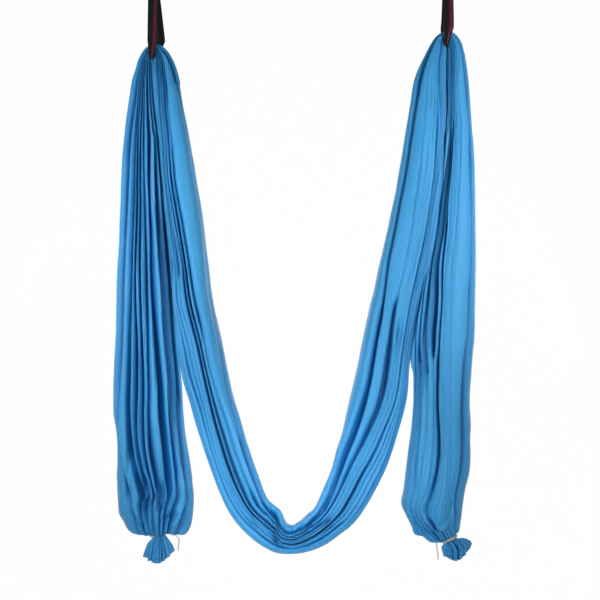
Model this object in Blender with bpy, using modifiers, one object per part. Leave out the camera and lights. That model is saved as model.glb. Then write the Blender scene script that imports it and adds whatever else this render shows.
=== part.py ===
"""Aerial yoga hammock: one long cloth hung over two daisy-chain straps, each strap on a screw-gate carabiner
under a ceiling eye. The cloth makes the seat between the straps and a loose tail outside each of them.

Frame: metres, +Z up, +X from the left strap to the right one, and -Y is the front. The origin is on the
ceiling, midway between the two anchor plates."""

import bmesh
import bpy
from math import cos, pi, radians, sin
from mathutils import Matrix, Vector

# Gaps
SEAT_GAP = 0.0003  # between pieces that rest on or hold each other
RUN_GAP = 0.0002  # round a pin, on the radius

# The whole hang
HANG_SPACING = 0.690  # between the two straps
SEAT_DROP = 1.127  # from the left strap's bottom to the middle of the cloth at the seat
CLOTH_FRONT = 0.0  # how far the cloth's middle is from the plane of the carabiners

# Ceiling anchor
PLATE_LENGTH = 0.090
PLATE_WIDTH = 0.060
PLATE_THICKNESS = 0.006
PLATE_CORNER = 0.010
SCREW_HOLE = 0.0085
SCREW_EDGE = 0.013  # from a screw hole's middle to the plate's edges
SCREW = 0.0075
SCREW_HEAD = 0.015
SCREW_HEAD_HEIGHT = 0.0045
SCREW_IN_CEILING = 0.040
EYE_ROD = 0.010
EYE_INSIDE = 0.024  # clear width between the eye's legs
EYE_HEIGHT = 0.033  # clear height from the plate to the rod

# Carabiner, in its own plane
ROD = 0.010
LINK_LENGTH = 0.098  # of the rod's middle line
LINK_WIDTH = 0.048
LINK_CORNER = 0.016
HINGE_DOWN = 0.027  # from the carabiner's middle down to the gate's hinge
NOSE_UP = 0.0275  # from the middle up to the nose's shoulder
TONGUE = 0.004  # thickness of the flat tongues at the hinge and the nose
TONGUE_SLOT = 0.0046
HINGE_PIN = 0.003
LATCH_PIN = 0.003
PIN_SUNK = 0.0005  # a pin's ends lie this far inside the rod's round
LATCH_UP = 0.0232  # from the middle up to the latch pin
NOTCH_HEIGHT = 0.0040
NOTCH_WALL = 0.0028  # what is left of the tongue outside the notch
NOSE_TONGUE = 0.0085
SHOULDER_GAP = 0.007  # from the hinge down to the body's shoulder, so that the fork can turn
GATE_TIP_GAP = 0.0007
SPRING_BORE = 0.0054
SPRING_WIDTH = 0.0044
SPRING_WIRE = 0.0008
SPRING_LENGTH = 0.014
SPRING_TURNS = 7
SPRING_POINTS = 8  # to a turn
PLUNGER_LENGTH = 0.007
SLEEVE_BORE = 0.0106
SLEEVE_OUTSIDE = 0.015
SLEEVE_LENGTH = 0.024
SLEEVE_BELOW_NOSE = 0.0105  # from the sleeve's top, unlocked, to the nose's shoulder
SLEEVE_GRIP_DEPTH = 0.0006
SLEEVE_GRIPS = 4

# Daisy-chain strap
WEBBING = 0.002
WEB_WIDTH = 0.025
WEB_WIDTH_IN_LINK = 0.016  # where it bunches in the carabiner
WEB_WIDTH_UNDER_CLOTH = 0.010  # and under the cloth
TOP_LOOP = 0.034  # from the rod's middle down to the first bar tack
TACK = 0.008
POCKET = 0.060
POCKET_OPEN = 0.012
POCKET_SWELL = ((0.2, 0.75), (0.5, 1.0), (0.8, 0.75))  # share of the way down, and share of the opening
LEFT_LOOP = 0.163  # from the lower bar tack down to where the cloth rests
RIGHT_LOOP = 0.133
LOOP_OPEN = 0.042  # clear depth of the loop that the cloth goes through
TACK_PAD = 0.0008
TACK_WIDTH = 0.019
TACK_CORE = 0.003
TACK_CORE_WIDTH = 0.015
LAYERS_PART = 0.004  # the two layers of webbing part this far from a bar tack
LINK_SLACK = 0.0002  # and lie this much looser round the carabiner

# Cloth over a strap
SADDLE_INSIDE = 0.009  # radius that the cloth turns round
SADDLE_LIFT = 0.0021  # the round cloth clears the flat webbing's corners
SADDLE_THICK = 0.031
SADDLE_DEPTH = 0.036
SADDLE_ENDS = {"left": (0.0272, 0.038), "right": (0.0326, 0.0354)}  # thickness at the tail and at the seat
SADDLE_END_DEPTH = 0.042
SADDLE_STEPS = 8
TAIL_PIVOT = 0.030  # from the saddle's end down to the axis that a tail swings about
SHOULDER_STEPS = 5

# Gathered ends and their ties
NECK = 0.018  # radius of the gathered cloth inside the tie
NECK_HEIGHT = 0.010
CORD = 0.0025
TIE_TURNS = 3
TIE_ROUND = CORD / 4  # how much the wound cord's edges are rounded off

# The cloth's stations, each (share of the way in from the strap, share of the drop, half width, half depth)
LEFT_BRANCH = [
    (0.116, 0.067, 0.0290, 0.026),
    (0.153, 0.150, 0.0345, 0.032),
    (0.189, 0.244, 0.0395, 0.036),
    (0.241, 0.386, 0.0440, 0.040),
    (0.281, 0.505, 0.0470, 0.042),
    (0.329, 0.599, 0.0515, 0.044),
    (0.382, 0.682, 0.0555, 0.045),
    (0.446, 0.755, 0.0550, 0.045),
    (0.512, 0.827, 0.0550, 0.045),
    (0.585, 0.886, 0.0550, 0.045),
    (0.684, 0.947, 0.0480, 0.044),
    (0.787, 0.982, 0.0420, 0.044),
    (0.893, 0.999, 0.0365, 0.044),
    (0.993, 1.000, 0.0355, 0.044),
]
RIGHT_BRANCH = [
    (0.105, 0.051, 0.0335, 0.027),
    (0.126, 0.108, 0.0405, 0.031),
    (0.160, 0.203, 0.0465, 0.035),
    (0.210, 0.307, 0.0490, 0.038),
    (0.269, 0.406, 0.0520, 0.040),
    (0.343, 0.508, 0.0535, 0.042),
    (0.405, 0.599, 0.0560, 0.043),
    (0.442, 0.683, 0.0635, 0.044),
    (0.483, 0.745, 0.0665, 0.045),
    (0.539, 0.808, 0.0660, 0.045),
    (0.603, 0.857, 0.0640, 0.045),
    (0.687, 0.914, 0.0580, 0.045),
    (0.777, 0.953, 0.0490, 0.044),
    (0.892, 0.985, 0.0415, 0.044),
]
# Each is (drop below the strap, reach outside the strap, reach inside it, half depth).
LEFT_TAIL = [
    (0.045, 0.045, 0.003, 0.028),
    (0.099, 0.054, 0.010, 0.035),
    (0.186, 0.065, 0.017, 0.042),
    (0.310, 0.074, 0.026, 0.047),
    (0.451, 0.081, 0.038, 0.050),
    (0.592, 0.088, 0.048, 0.052),
    (0.710, 0.091, 0.060, 0.054),
    (0.804, 0.094, 0.071, 0.058),
    (0.862, 0.093, 0.077, 0.060),
    (0.921, 0.088, 0.085, 0.062),
    (1.015, 0.081, 0.098, 0.064),
    (1.062, 0.078, 0.099, 0.064),
    (1.076, 0.073, 0.096, 0.062),
    (1.092, 0.062, 0.094, 0.054),
]
RIGHT_TAIL = [
    (0.045, 0.049, -0.003, 0.027),
    (0.106, 0.057, -0.002, 0.033),
    (0.176, 0.060, 0.000, 0.037),
    (0.289, 0.067, 0.011, 0.042),
    (0.364, 0.069, 0.021, 0.044),
    (0.482, 0.071, 0.037, 0.046),
    (0.599, 0.069, 0.060, 0.048),
    (0.717, 0.063, 0.076, 0.050),
    (0.834, 0.057, 0.083, 0.054),
    (0.905, 0.060, 0.089, 0.056),
    (0.963, 0.060, 0.098, 0.058),
    (1.038, 0.050, 0.107, 0.058),
    (1.081, 0.042, 0.110, 0.056),
    (1.114, 0.038, 0.093, 0.052),
    (1.133, 0.035, 0.084, 0.046),
]
LEFT_NECK = (1.112, 0.014)  # drop below the strap, and reach inside it
RIGHT_NECK = (1.153, -0.007)
# Each flare station is (drop below the tie, sideways, half width, half depth).
LEFT_FLARE = [
    (0.012, 0.002, 0.026, 0.017),
    (0.033, 0.005, 0.036, 0.015),
    (0.050, -0.002, 0.034, 0.011),
    (0.063, -0.010, 0.014, 0.005),
]
RIGHT_FLARE = [
    (0.007, 0.012, 0.030, 0.017),
    (0.015, 0.015, 0.035, 0.015),
    (0.028, 0.013, 0.030, 0.012),
    (0.040, 0.007, 0.018, 0.008),
    (0.047, 0.006, 0.008, 0.004),
]
# A tie's loose end, past the ring that it starts at: (sideways, forward, down) from the ring's middle.
LEFT_TIE_END = [
    (0.030, 0.010, 0.000),
    (0.043, 0.012, 0.003),
    (0.050, 0.012, 0.013),
    (0.048, 0.011, 0.026),
    (0.047, 0.010, 0.040),
]
RIGHT_TIE_END = [
    (-0.026, 0.010, 0.001),
    (-0.029, 0.011, 0.009),
    (-0.029, 0.011, 0.024),
    (-0.027, 0.011, 0.037),
    (-0.026, 0.010, 0.049),
]
TIE_END_POINTS = 11

# How finely round shapes are cut
CLOTH_SIDES = 20
ROD_SIDES = 12
CORD_SIDES = 8
SPRING_SIDES = 4
HOLE_SIDES = 16
ARC_STEPS = 6
CORNER_STEPS = 4
LINK_ARC_STEPS = 8
LOOP_ARC_STEPS = 14

# Heights that follow from the sizes above
EYE_ROD_HEIGHT = -PLATE_THICKNESS - EYE_HEIGHT - EYE_ROD / 2
LINK_TOP = EYE_ROD_HEIGHT + EYE_ROD / 2 + SEAT_GAP + ROD / 2
LINK_HEIGHT = LINK_TOP - LINK_LENGTH / 2
LINK_BOTTOM = LINK_TOP - LINK_LENGTH
STRAP_TOP = LINK_BOTTOM + ROD / 2 + SEAT_GAP
TACK_A = LINK_BOTTOM - TOP_LOOP
TACK_B = TACK_A - TACK - POCKET
LOOP_TOP = TACK_B - TACK
SIDES = {
    "left": {"x": -HANG_SPACING / 2, "out": -1, "rest": LOOP_TOP - LEFT_LOOP},
    "right": {"x": HANG_SPACING / 2, "out": 1, "rest": LOOP_TOP - RIGHT_LOOP},
}
SEAT_HEIGHT = SIDES["left"]["rest"] - SEAT_DROP

MATERIALS = {
    "cloth": ((0.085, 0.31, 0.60), 0.45, 0.0),
    "webbing": ((0.012, 0.012, 0.014), 0.8, 0.0),
    "thread": ((0.25, 0.02, 0.03), 0.7, 0.0),
    "cord": ((0.70, 0.67, 0.60), 0.8, 0.0),
    "steel": ((0.56, 0.57, 0.58), 0.3, 1.0),
    "sleeve": ((0.35, 0.36, 0.38), 0.35, 1.0),
}


def clear_scene():
    for found in list(bpy.data.objects):
        bpy.data.objects.remove(found)


def new_collection(name):
    made = bpy.data.collections.new(name)
    bpy.context.scene.collection.children.link(made)
    return made


def material(name):
    """The Principled material of that name, made the first time it is asked for."""
    if name in bpy.data.materials:
        return bpy.data.materials[name]
    colour, roughness, metallic = MATERIALS[name]
    made = bpy.data.materials.new(name)
    made.use_nodes = True
    shader = made.node_tree.nodes["Principled BSDF"]
    shader.inputs["Base Color"].default_value = (*colour, 1)
    shader.inputs["Roughness"].default_value = roughness
    shader.inputs["Metallic"].default_value = metallic
    made.diffuse_color = (*colour, 1)
    return made


def add(name, data, look, place=Matrix()):
    """An object of the hammock, from a mesh or a curve."""
    made = bpy.data.objects.new(name, data)
    made.matrix_world = place
    data.materials.append(material(look))
    PARTS.objects.link(made)
    return made


def mesh_of(shape, name):
    bmesh.ops.recalc_face_normals(shape, faces=shape.faces)
    data = bpy.data.meshes.new(name)
    shape.to_mesh(data)
    shape.free()
    return data


def turned(name, profile, look, place, sides):
    """A turned piece. Its profile is a closed line of (radius, height) that runs down its outer side."""
    data = bpy.data.meshes.new(name)
    edges = [(i, (i + 1) % len(profile)) for i in range(len(profile))]
    data.from_pydata([(radius, 0, height) for radius, height in profile], edges, [])
    made = add(name, data, look, place)
    screw = made.modifiers.new("turn", "SCREW")
    screw.steps = screw.render_steps = sides
    screw.merge_threshold = 0.00001
    return made


def smooth(made, angle=35):
    made.data.shade_smooth()
    made.data.set_sharp_from_angle(angle=radians(angle))


def tube_curve(name, route, radius, sides=ROD_SIDES):
    """A round bar or cord along a list of points. A bevel has 4 sides, and 2 more for each step."""
    data = bpy.data.curves.new(name, "CURVE")
    data.dimensions = "3D"
    data.bevel_depth = radius
    data.bevel_resolution = (sides - 4) // 2
    data.use_fill_caps = True
    spline = data.splines.new("POLY")
    spline.points.add(len(route) - 1)
    for point, place in zip(spline.points, route):
        point.co = (*place, 1)
    return data


def as_mesh(made):
    """The object again as a closed mesh, which a Boolean can cut."""
    graph = bpy.context.evaluated_depsgraph_get()
    data = bpy.data.meshes.new_from_object(made.evaluated_get(graph))
    shape = bmesh.new()
    shape.from_mesh(data)
    bmesh.ops.remove_doubles(shape, verts=shape.verts, dist=0.00001)
    bmesh.ops.recalc_face_normals(shape, faces=shape.faces)
    shape.to_mesh(data)
    shape.free()
    name, place = made.name, made.matrix_world.copy()
    bpy.data.objects.remove(made)
    solid = bpy.data.objects.new(name, data)
    solid.matrix_world = place
    PARTS.objects.link(solid)
    return solid


def flat_curve(name, outlines, thickness):
    """A plate whose first outline is its edge and whose others are holes."""
    data = bpy.data.curves.new(name, "CURVE")
    data.dimensions = "2D"
    data.fill_mode = "BOTH"
    data.extrude = thickness / 2
    for outline in outlines:
        spline = data.splines.new("POLY")
        spline.points.add(len(outline) - 1)
        spline.use_cyclic_u = True
        for point, (x, y) in zip(spline.points, outline):
            point.co = (x, y, 0, 1)
    return data


def arc(centre, radius, start, end, steps=ARC_STEPS):
    """Points of an arc between two angles in degrees, in a plane."""
    angles = [radians(start + (end - start) * i / steps) for i in range(steps + 1)]
    return [(centre[0] + radius * cos(a), centre[1] + radius * sin(a)) for a in angles]


def circle(centre, radius, sides=HOLE_SIDES):
    return arc(centre, radius, 0, 360 * (sides - 1) / sides, sides - 1)


def box(name, size, place):
    """A box as a mesh, with its middle at place."""
    shape = bmesh.new()
    bmesh.ops.create_cube(shape, size=1, matrix=Matrix.Translation(place) @ Matrix.Diagonal((*size, 1)))
    return mesh_of(shape, name)


def rod(name, radius, length, place, axis, sides=HOLE_SIDES):
    """A cylinder as a mesh, with its middle at place and lying along axis."""
    turn = Vector((0, 0, 1)).rotation_difference(Vector(axis)).to_matrix().to_4x4()
    shape = bmesh.new()
    bmesh.ops.create_cone(
        shape, cap_ends=True, segments=sides, radius1=radius, radius2=radius, depth=length,
        matrix=Matrix.Translation(place) @ turn,
    )
    return mesh_of(shape, name)


def cut(made, cutter_mesh, operation="DIFFERENCE"):
    """Cuts a piece with a mesh that is in the same coordinates as the piece's own."""
    cutter = bpy.data.objects.new(cutter_mesh.name, cutter_mesh)
    cutter.matrix_world = made.matrix_world.copy()
    cutter.hide_render = True
    cutter.display_type = "WIRE"
    CUTTERS.objects.link(cutter)
    step = made.modifiers.new(cutter_mesh.name, "BOOLEAN")
    step.operation = operation
    step.object = cutter


def along(route, count):
    """The same route as a smooth curve through its points, at count even steps."""
    knots = [Vector(p) for p in route]
    knots = [knots[0] * 2 - knots[1], *knots, knots[-1] * 2 - knots[-2]]
    fine = []
    for a, b, c, d in zip(knots, knots[1:], knots[2:], knots[3:]):
        for i in range(ARC_STEPS):
            t = i / ARC_STEPS
            bend = (2 * a - 5 * b + 4 * c - d) * t**2 + (3 * b - a - 3 * c + d) * t**3
            fine.append(b + ((c - a) * t + bend) / 2)
    fine.append(knots[-2])
    reach = [0.0]
    for a, b in zip(fine, fine[1:]):
        reach.append(reach[-1] + (b - a).length)
    made = []
    for i in range(count):
        want = reach[-1] * i / (count - 1)
        k = max(j for j in range(len(fine) - 1) if reach[j] <= want or j == 0)
        share = (want - reach[k]) / (reach[k + 1] - reach[k])
        made.append(fine[k].lerp(fine[k + 1], min(share, 1)))
    return made


def bundle(name, stations, level):
    """Gathered cloth: oval sections of (x, z, half width, half depth, y), closed at both ends.

    The sections lie level, or else across the line through their middles, with level ones at its ends."""
    shape = bmesh.new()
    rings = []
    last = len(stations) - 1
    for i, (x, z, half_width, half_depth, y) in enumerate(stations):
        run = Vector((0, 0, 1 if i == 0 else -1))
        if not level and 0 < i < last:
            before, after = stations[i - 1], stations[i + 1]
            run = Vector((after[0] - before[0], 0, after[1] - before[1])).normalized()
        across = Vector((1, 0, 0)) if level else Vector((-run.z, 0, run.x))
        ring = []
        for k in range(CLOTH_SIDES):
            a = 2 * pi * k / CLOTH_SIDES
            place = Vector((x, y, z)) + across * (half_width * cos(a))
            ring.append(shape.verts.new(place + Vector((0, half_depth * sin(a), 0))))
        rings.append(ring)
    for one, two in zip(rings, rings[1:]):
        for k in range(CLOTH_SIDES):
            m = (k + 1) % CLOTH_SIDES
            shape.faces.new((one[k], one[m], two[m], two[k]))
    shape.faces.new(rings[0])
    shape.faces.new(rings[-1])
    made = add(name, mesh_of(shape, name), "cloth")
    smooth(made, 60)
    return made


def screw_places():
    """The screws' places on a plate, from its middle."""
    long, wide = PLATE_LENGTH / 2 - SCREW_EDGE, PLATE_WIDTH / 2 - SCREW_EDGE
    return [(sx * long, sy * wide) for sy in (-1, 1) for sx in (-1, 1)]


def anchor_plate(side):
    """Ceiling plate with four screw holes. Its upper face is the ceiling."""
    long, wide = PLATE_LENGTH / 2, PLATE_WIDTH / 2
    corners = [(1, 1, 0), (-1, 1, 90), (-1, -1, 180), (1, -1, 270)]
    edge = []
    for sx, sy, start in corners:
        centre = (sx * (long - PLATE_CORNER), sy * (wide - PLATE_CORNER))
        edge += arc(centre, PLATE_CORNER, start, start + 90, CORNER_STEPS)
    holes = [circle(place, SCREW_HOLE / 2) for place in screw_places()]
    place = Matrix.Translation((SIDES[side]["x"], 0, -PLATE_THICKNESS / 2))
    name = f"{side}_anchor_plate"
    add(name, flat_curve(name, [edge, *holes], PLATE_THICKNESS), "steel", place)


def anchor_screws(side):
    """Four pan-head screws that go up through the plate into the ceiling."""
    seat = -PLATE_THICKNESS - SEAT_GAP
    length = SCREW_IN_CEILING - seat
    for i, (x, y) in enumerate(screw_places()):
        name = f"{side}_anchor_screw_{i + 1}"
        shank = rod(name, SCREW / 2, length, (0, 0, seat + length / 2), (0, 0, 1))
        made = add(name, shank, "steel", Matrix.Translation((SIDES[side]["x"] + x, y, 0)))
        middle = (0, 0, seat - SCREW_HEAD_HEIGHT / 2)
        cut(made, rod("screw_head", SCREW_HEAD / 2, SCREW_HEAD_HEIGHT, middle, (0, 0, 1)), "UNION")
        smooth(made)


def anchor_eye(side):
    """Bent rod under the plate. Its legs stand front and back, so the carabiner's rod lies across it."""
    reach = (EYE_INSIDE + EYE_ROD) / 2
    middle = EYE_ROD_HEIGHT + reach
    route = [(0, reach, -PLATE_THICKNESS - SEAT_GAP)]
    route += [(0, y, z) for y, z in arc((0, middle), reach, 0, -180, 2 * ARC_STEPS)]
    route += [(0, -reach, -PLATE_THICKNESS - SEAT_GAP)]
    name = f"{side}_anchor_eye"
    place = Matrix.Translation((SIDES[side]["x"], 0, 0))
    smooth(as_mesh(add(name, tube_curve(name, route, EYE_ROD / 2), "steel", place)))


def link_place(side):
    """The carabiner's own frame: its middle, with the gate on the inner side of the hang."""
    flip = Matrix.Rotation(pi, 4, "Z") if side == "right" else Matrix()
    return Matrix.Translation((SIDES[side]["x"], 0, LINK_HEIGHT)) @ flip


def carabiner_body(side):
    """The C of the carabiner, with a tongue for the gate's hinge and a notched tongue at the nose."""
    x, top = LINK_WIDTH / 2, LINK_LENGTH / 2
    cx, cz = x - LINK_CORNER, top - LINK_CORNER
    tongue_top = -HINGE_DOWN + ROD / 2
    route = [(x, tongue_top)]
    for centre, start in (((cx, -cz), 0), ((-cx, -cz), -90), ((-cx, cz), -180), ((cx, cz), -270)):
        route += arc(centre, LINK_CORNER, start, start - 90)
    nose_tip = NOSE_UP - NOSE_TONGUE
    route += [(x, nose_tip)]
    name = f"{side}_carabiner_body"
    bar = tube_curve(name, [(px, 0, pz) for px, pz in route], ROD / 2)
    made = as_mesh(add(name, bar, "steel", link_place(side)))
    shoulder = -HINGE_DOWN - SHOULDER_GAP
    off = (TONGUE + ROD) / 2
    low, high = tongue_top - shoulder + ROD, NOSE_TONGUE + ROD
    for face in (-1, 1):
        cut(made, box("hinge_cheek", (2 * ROD, ROD, low), (x, face * off, shoulder + low / 2)))
        cut(made, box("nose_cheek", (2 * ROD, ROD, high), (x, face * off, NOSE_UP - high / 2)))
    cut(made, rod("hinge_hole", HINGE_PIN / 2 + RUN_GAP, 2 * ROD, (x, 0, -HINGE_DOWN), (0, 1, 0)))
    round_tip = rod("tongue_round", ROD, 2 * ROD, (x, 0, -HINGE_DOWN), (0, 1, 0), 2 * HOLE_SIDES)
    keep = rod("tongue_keep", ROD / 2 - RUN_GAP, 3 * ROD, (x, 0, -HINGE_DOWN), (0, 1, 0), 2 * HOLE_SIDES)
    cut(made, crescent(round_tip, keep, x))
    notch = 2 * ROD - NOTCH_WALL
    middle = (x + ROD / 2 - NOTCH_WALL - notch / 2, 0, LATCH_UP)
    cut(made, box("latch_notch", (notch, 2 * ROD, NOTCH_HEIGHT), middle))
    made.data.materials.append(material("steel"))
    smooth(made)


def crescent(outer, inner, x):
    """What is outside the hinge tongue's round end, above the pin, as a cutter's mesh."""
    shape = bmesh.new()
    shape.from_mesh(outer)
    bmesh.ops.bisect_plane(
        shape, geom=[*shape.verts, *shape.edges, *shape.faces], plane_co=(x, 0, -HINGE_DOWN),
        plane_no=(0, 0, -1), clear_outer=True,
    )
    bmesh.ops.contextual_create(shape, geom=[e for e in shape.edges if e.is_boundary])
    half = mesh_of(shape, "half_round")
    first = bpy.data.objects.new("half_round", half)
    second = bpy.data.objects.new("tongue_keep", inner)
    for made in (first, second):
        made.hide_render = True
        made.display_type = "WIRE"
        CUTTERS.objects.link(made)
    step = first.modifiers.new("keep", "BOOLEAN")
    step.object = second
    graph = bpy.context.evaluated_depsgraph_get()
    cutter = bpy.data.meshes.new_from_object(first.evaluated_get(graph))
    cutter.name = "tongue_round"
    bpy.data.objects.remove(first)
    bpy.data.objects.remove(second)
    return cutter


def carabiner_gate(side):
    """The gate: forked at its hinge, slotted at its tip, and bored for the spring."""
    x = LINK_WIDTH / 2
    bottom = -HINGE_DOWN - ROD / 2
    top = NOSE_UP - GATE_TIP_GAP
    name = f"{side}_carabiner_gate"
    middle = (x, 0, (bottom + top) / 2)
    made = add(name, rod(name, ROD / 2, top - bottom, middle, (0, 0, 1)), "steel", link_place(side))
    fork_top = -HINGE_DOWN + ROD / 2 + RUN_GAP
    slot_height = fork_top - bottom + ROD
    cut(made, box("fork_slot", (2 * ROD, TONGUE_SLOT, slot_height), (x, 0, fork_top - slot_height / 2)))
    slot_floor = NOSE_UP - NOSE_TONGUE - SEAT_GAP
    cut(made, box("tip_slot", (2 * ROD, TONGUE_SLOT, 2 * ROD), (x, 0, slot_floor + ROD)))
    bore_end = fork_top + PLUNGER_LENGTH + SPRING_LENGTH + 3 * SEAT_GAP
    middle = (x, 0, (bore_end + bottom) / 2)
    cut(made, rod("spring_bore", SPRING_BORE / 2, bore_end - bottom, middle, (0, 0, 1)))
    cut(made, rod("hinge_hole", HINGE_PIN / 2 + RUN_GAP, 2 * ROD, (x, 0, -HINGE_DOWN), (0, 1, 0)))
    cut(made, rod("latch_hole", LATCH_PIN / 2 + RUN_GAP, 2 * ROD, (x, 0, LATCH_UP), (0, 1, 0)))
    smooth(made)


def gate_pins(side):
    """The rivet that the gate turns on, and the latch pin across its tip."""
    x = LINK_WIDTH / 2
    for part, size, height in (("hinge_pin", HINGE_PIN, -HINGE_DOWN), ("latch_pin", LATCH_PIN, LATCH_UP)):
        name = f"{side}_gate_{part}"
        pin = rod(name, size / 2, ROD - 2 * PIN_SUNK, (x, 0, height), (0, 1, 0))
        smooth(add(name, pin, "steel", link_place(side)))


def gate_spring(side):
    """Coil spring in the gate's bore, and the plunger that it presses on the body's tongue."""
    x = LINK_WIDTH / 2
    start = -HINGE_DOWN + ROD / 2 + SEAT_GAP
    name = f"{side}_gate_plunger"
    plunger = rod(name, SPRING_WIDTH / 2, PLUNGER_LENGTH, (x, 0, start + PLUNGER_LENGTH / 2), (0, 0, 1))
    smooth(add(name, plunger, "steel", link_place(side)))
    low = start + PLUNGER_LENGTH + SEAT_GAP + SPRING_WIRE / 2
    radius = (SPRING_WIDTH - SPRING_WIRE) / 2
    rise = SPRING_LENGTH - SPRING_WIRE - 2 * SEAT_GAP
    points = SPRING_TURNS * SPRING_POINTS
    route = []
    for i in range(points + 1):
        turn = 2 * pi * i / SPRING_POINTS
        route.append((x + radius * cos(turn), radius * sin(turn), low + rise * i / points))
    name = f"{side}_gate_spring"
    add(name, tube_curve(name, route, SPRING_WIRE / 2, SPRING_SIDES), "steel", link_place(side))


def lock_sleeve(side):
    """Screw sleeve round the gate, turned back clear of the nose."""
    grip = SLEEVE_LENGTH / (2 * SLEEVE_GRIPS + 1)
    profile = [(SLEEVE_BORE / 2, 0)]
    for i in range(2 * SLEEVE_GRIPS + 1):
        radius = SLEEVE_OUTSIDE / 2 - (SLEEVE_GRIP_DEPTH if i % 2 == 0 else 0)
        profile += [(radius, -grip * i), (radius, -grip * (i + 1))]
    profile.append((SLEEVE_BORE / 2, -SLEEVE_LENGTH))
    top = Matrix.Translation((LINK_WIDTH / 2, 0, NOSE_UP - SLEEVE_BELOW_NOSE))
    turned(f"{side}_lock_sleeve", profile, "sleeve", link_place(side) @ top, CLOTH_SIDES)


def strap_outlines(side):
    """The strap's edge and its three openings, as (depth, height) points."""
    rest = SIDES[side]["rest"]
    bar = ROD / 2 + SEAT_GAP + LINK_SLACK
    centre = STRAP_TOP - bar
    pocket_top, pocket_end = TACK_A - TACK, TACK_B
    loop = LOOP_OPEN / 2
    turn = rest + loop
    edge = arc((0, centre), bar + WEBBING, 0, 180, LINK_ARC_STEPS)
    front = [(-WEBBING, TACK_A), (-WEBBING, pocket_top)]
    belly = [(POCKET_OPEN / 2 * swell, pocket_top - POCKET * share) for share, swell in POCKET_SWELL]
    front += [(-WEBBING - open_by, z) for open_by, z in belly]
    front += [(-WEBBING, pocket_end), (-WEBBING, LOOP_TOP)]
    edge += front
    edge += arc((0, turn), loop + WEBBING, 180, 360, LOOP_ARC_STEPS)
    edge += [(-y, z) for y, z in reversed(front)]
    top_hole = arc((0, centre), bar, 0, 180, LINK_ARC_STEPS) + [(0, TACK_A + LAYERS_PART)]
    pocket = [(0, pocket_top - LAYERS_PART)] + [(-open_by, z) for open_by, z in belly]
    pocket += [(0, pocket_end + LAYERS_PART)] + belly[::-1]
    cloth_hole = arc((0, turn), loop, 180, 360, LOOP_ARC_STEPS) + [(0, LOOP_TOP - LAYERS_PART)]
    return [edge, top_hole, pocket, cloth_hole]


def strap(side):
    """Daisy-chain webbing, bunched narrower where it goes over the carabiner and under the cloth."""
    name = f"{side}_strap"
    upright = Matrix(((0, 0, 1, 0), (1, 0, 0, 0), (0, 1, 0, 0), (0, 0, 0, 1)))
    made = as_mesh(add(name, flat_curve(name, strap_outlines(side), WEB_WIDTH), "webbing", upright))
    rest = SIDES[side]["rest"]
    for v in made.data.vertices:
        in_link = min(max((v.co.y - (TACK_A + TACK)) / (STRAP_TOP - TACK_A - 2 * TACK), 0), 1)
        under = min(max((rest + LOOP_OPEN - v.co.y) / LOOP_OPEN, 0), 1)
        lost = (WEB_WIDTH - WEB_WIDTH_IN_LINK) * in_link + (WEB_WIDTH - WEB_WIDTH_UNDER_CLOTH) * under
        v.co.z *= 1 - lost / WEB_WIDTH
    made.data.transform(upright)
    made.matrix_world = Matrix.Translation((SIDES[side]["x"], 0, 0))
    slot = (TACK_CORE_WIDTH + 2 * SEAT_GAP, 4 * WEBBING, TACK_CORE + 2 * SEAT_GAP)
    for top in (TACK_A, TACK_B):
        cut(made, box("tack_slot", slot, (0, 0, top - TACK / 2)))
    made.data.materials.append(material("webbing"))


def bar_tack(side, which, top):
    """Zigzag stitching: a pad on each face of the webbing, and the thread that joins them through it."""
    height = top - TACK / 2
    pad = WEBBING + SEAT_GAP + TACK_PAD / 2
    name = f"{side}_bar_tack_{which}"
    core = box(name, (TACK_CORE_WIDTH, 2 * pad, TACK_CORE), (0, 0, height))
    made = add(name, core, "thread", Matrix.Translation((SIDES[side]["x"], 0, 0)))
    for y in (-pad, pad):
        cut(made, box("tack_pad", (TACK_WIDTH, TACK_PAD, TACK), (0, y, height)), "UNION")


def saddle(side):
    """Stations of the cloth over one strap, from its tail side to its seat side."""
    hang, out, rest = (SIDES[side][k] for k in ("x", "out", "rest"))
    tail, seat = SADDLE_ENDS[side]
    centre = rest + SADDLE_LIFT - SADDLE_INSIDE
    made = []
    for i in range(SADDLE_STEPS + 1):
        share = i / SADDLE_STEPS
        top = sin(pi * share)
        thick = (tail + (seat - tail) * share) * (1 - top) + SADDLE_THICK * top
        deep = SADDLE_END_DEPTH * (1 - top) + SADDLE_DEPTH * top
        reach = SADDLE_INSIDE + thick / 2
        x, z = hang + out * reach * cos(pi * share), centre + reach * sin(pi * share)
        made.append((x, z, thick / 2, deep / 2, CLOTH_FRONT))
    return made


def branch(side, stations):
    """Stations of the cloth from one strap's saddle down to the seat's middle."""
    hang, out, rest = (SIDES[side][k] for k in ("x", "out", "rest"))
    made = []
    for inwards, down, half_width, half_depth in stations:
        x, z = hang - out * HANG_SPACING / 2 * inwards, rest + (SEAT_HEIGHT - rest) * down
        made.append((x, z, half_width, half_depth, CLOTH_FRONT))
    return made


def seat_cloth():
    """The cloth from the left tail, over the left strap, through the seat and over the right strap."""
    left = saddle("left") + branch("left", LEFT_BRANCH)
    right = saddle("right") + branch("right", RIGHT_BRANCH)
    bundle("seat_cloth", left + right[::-1], False)


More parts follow.
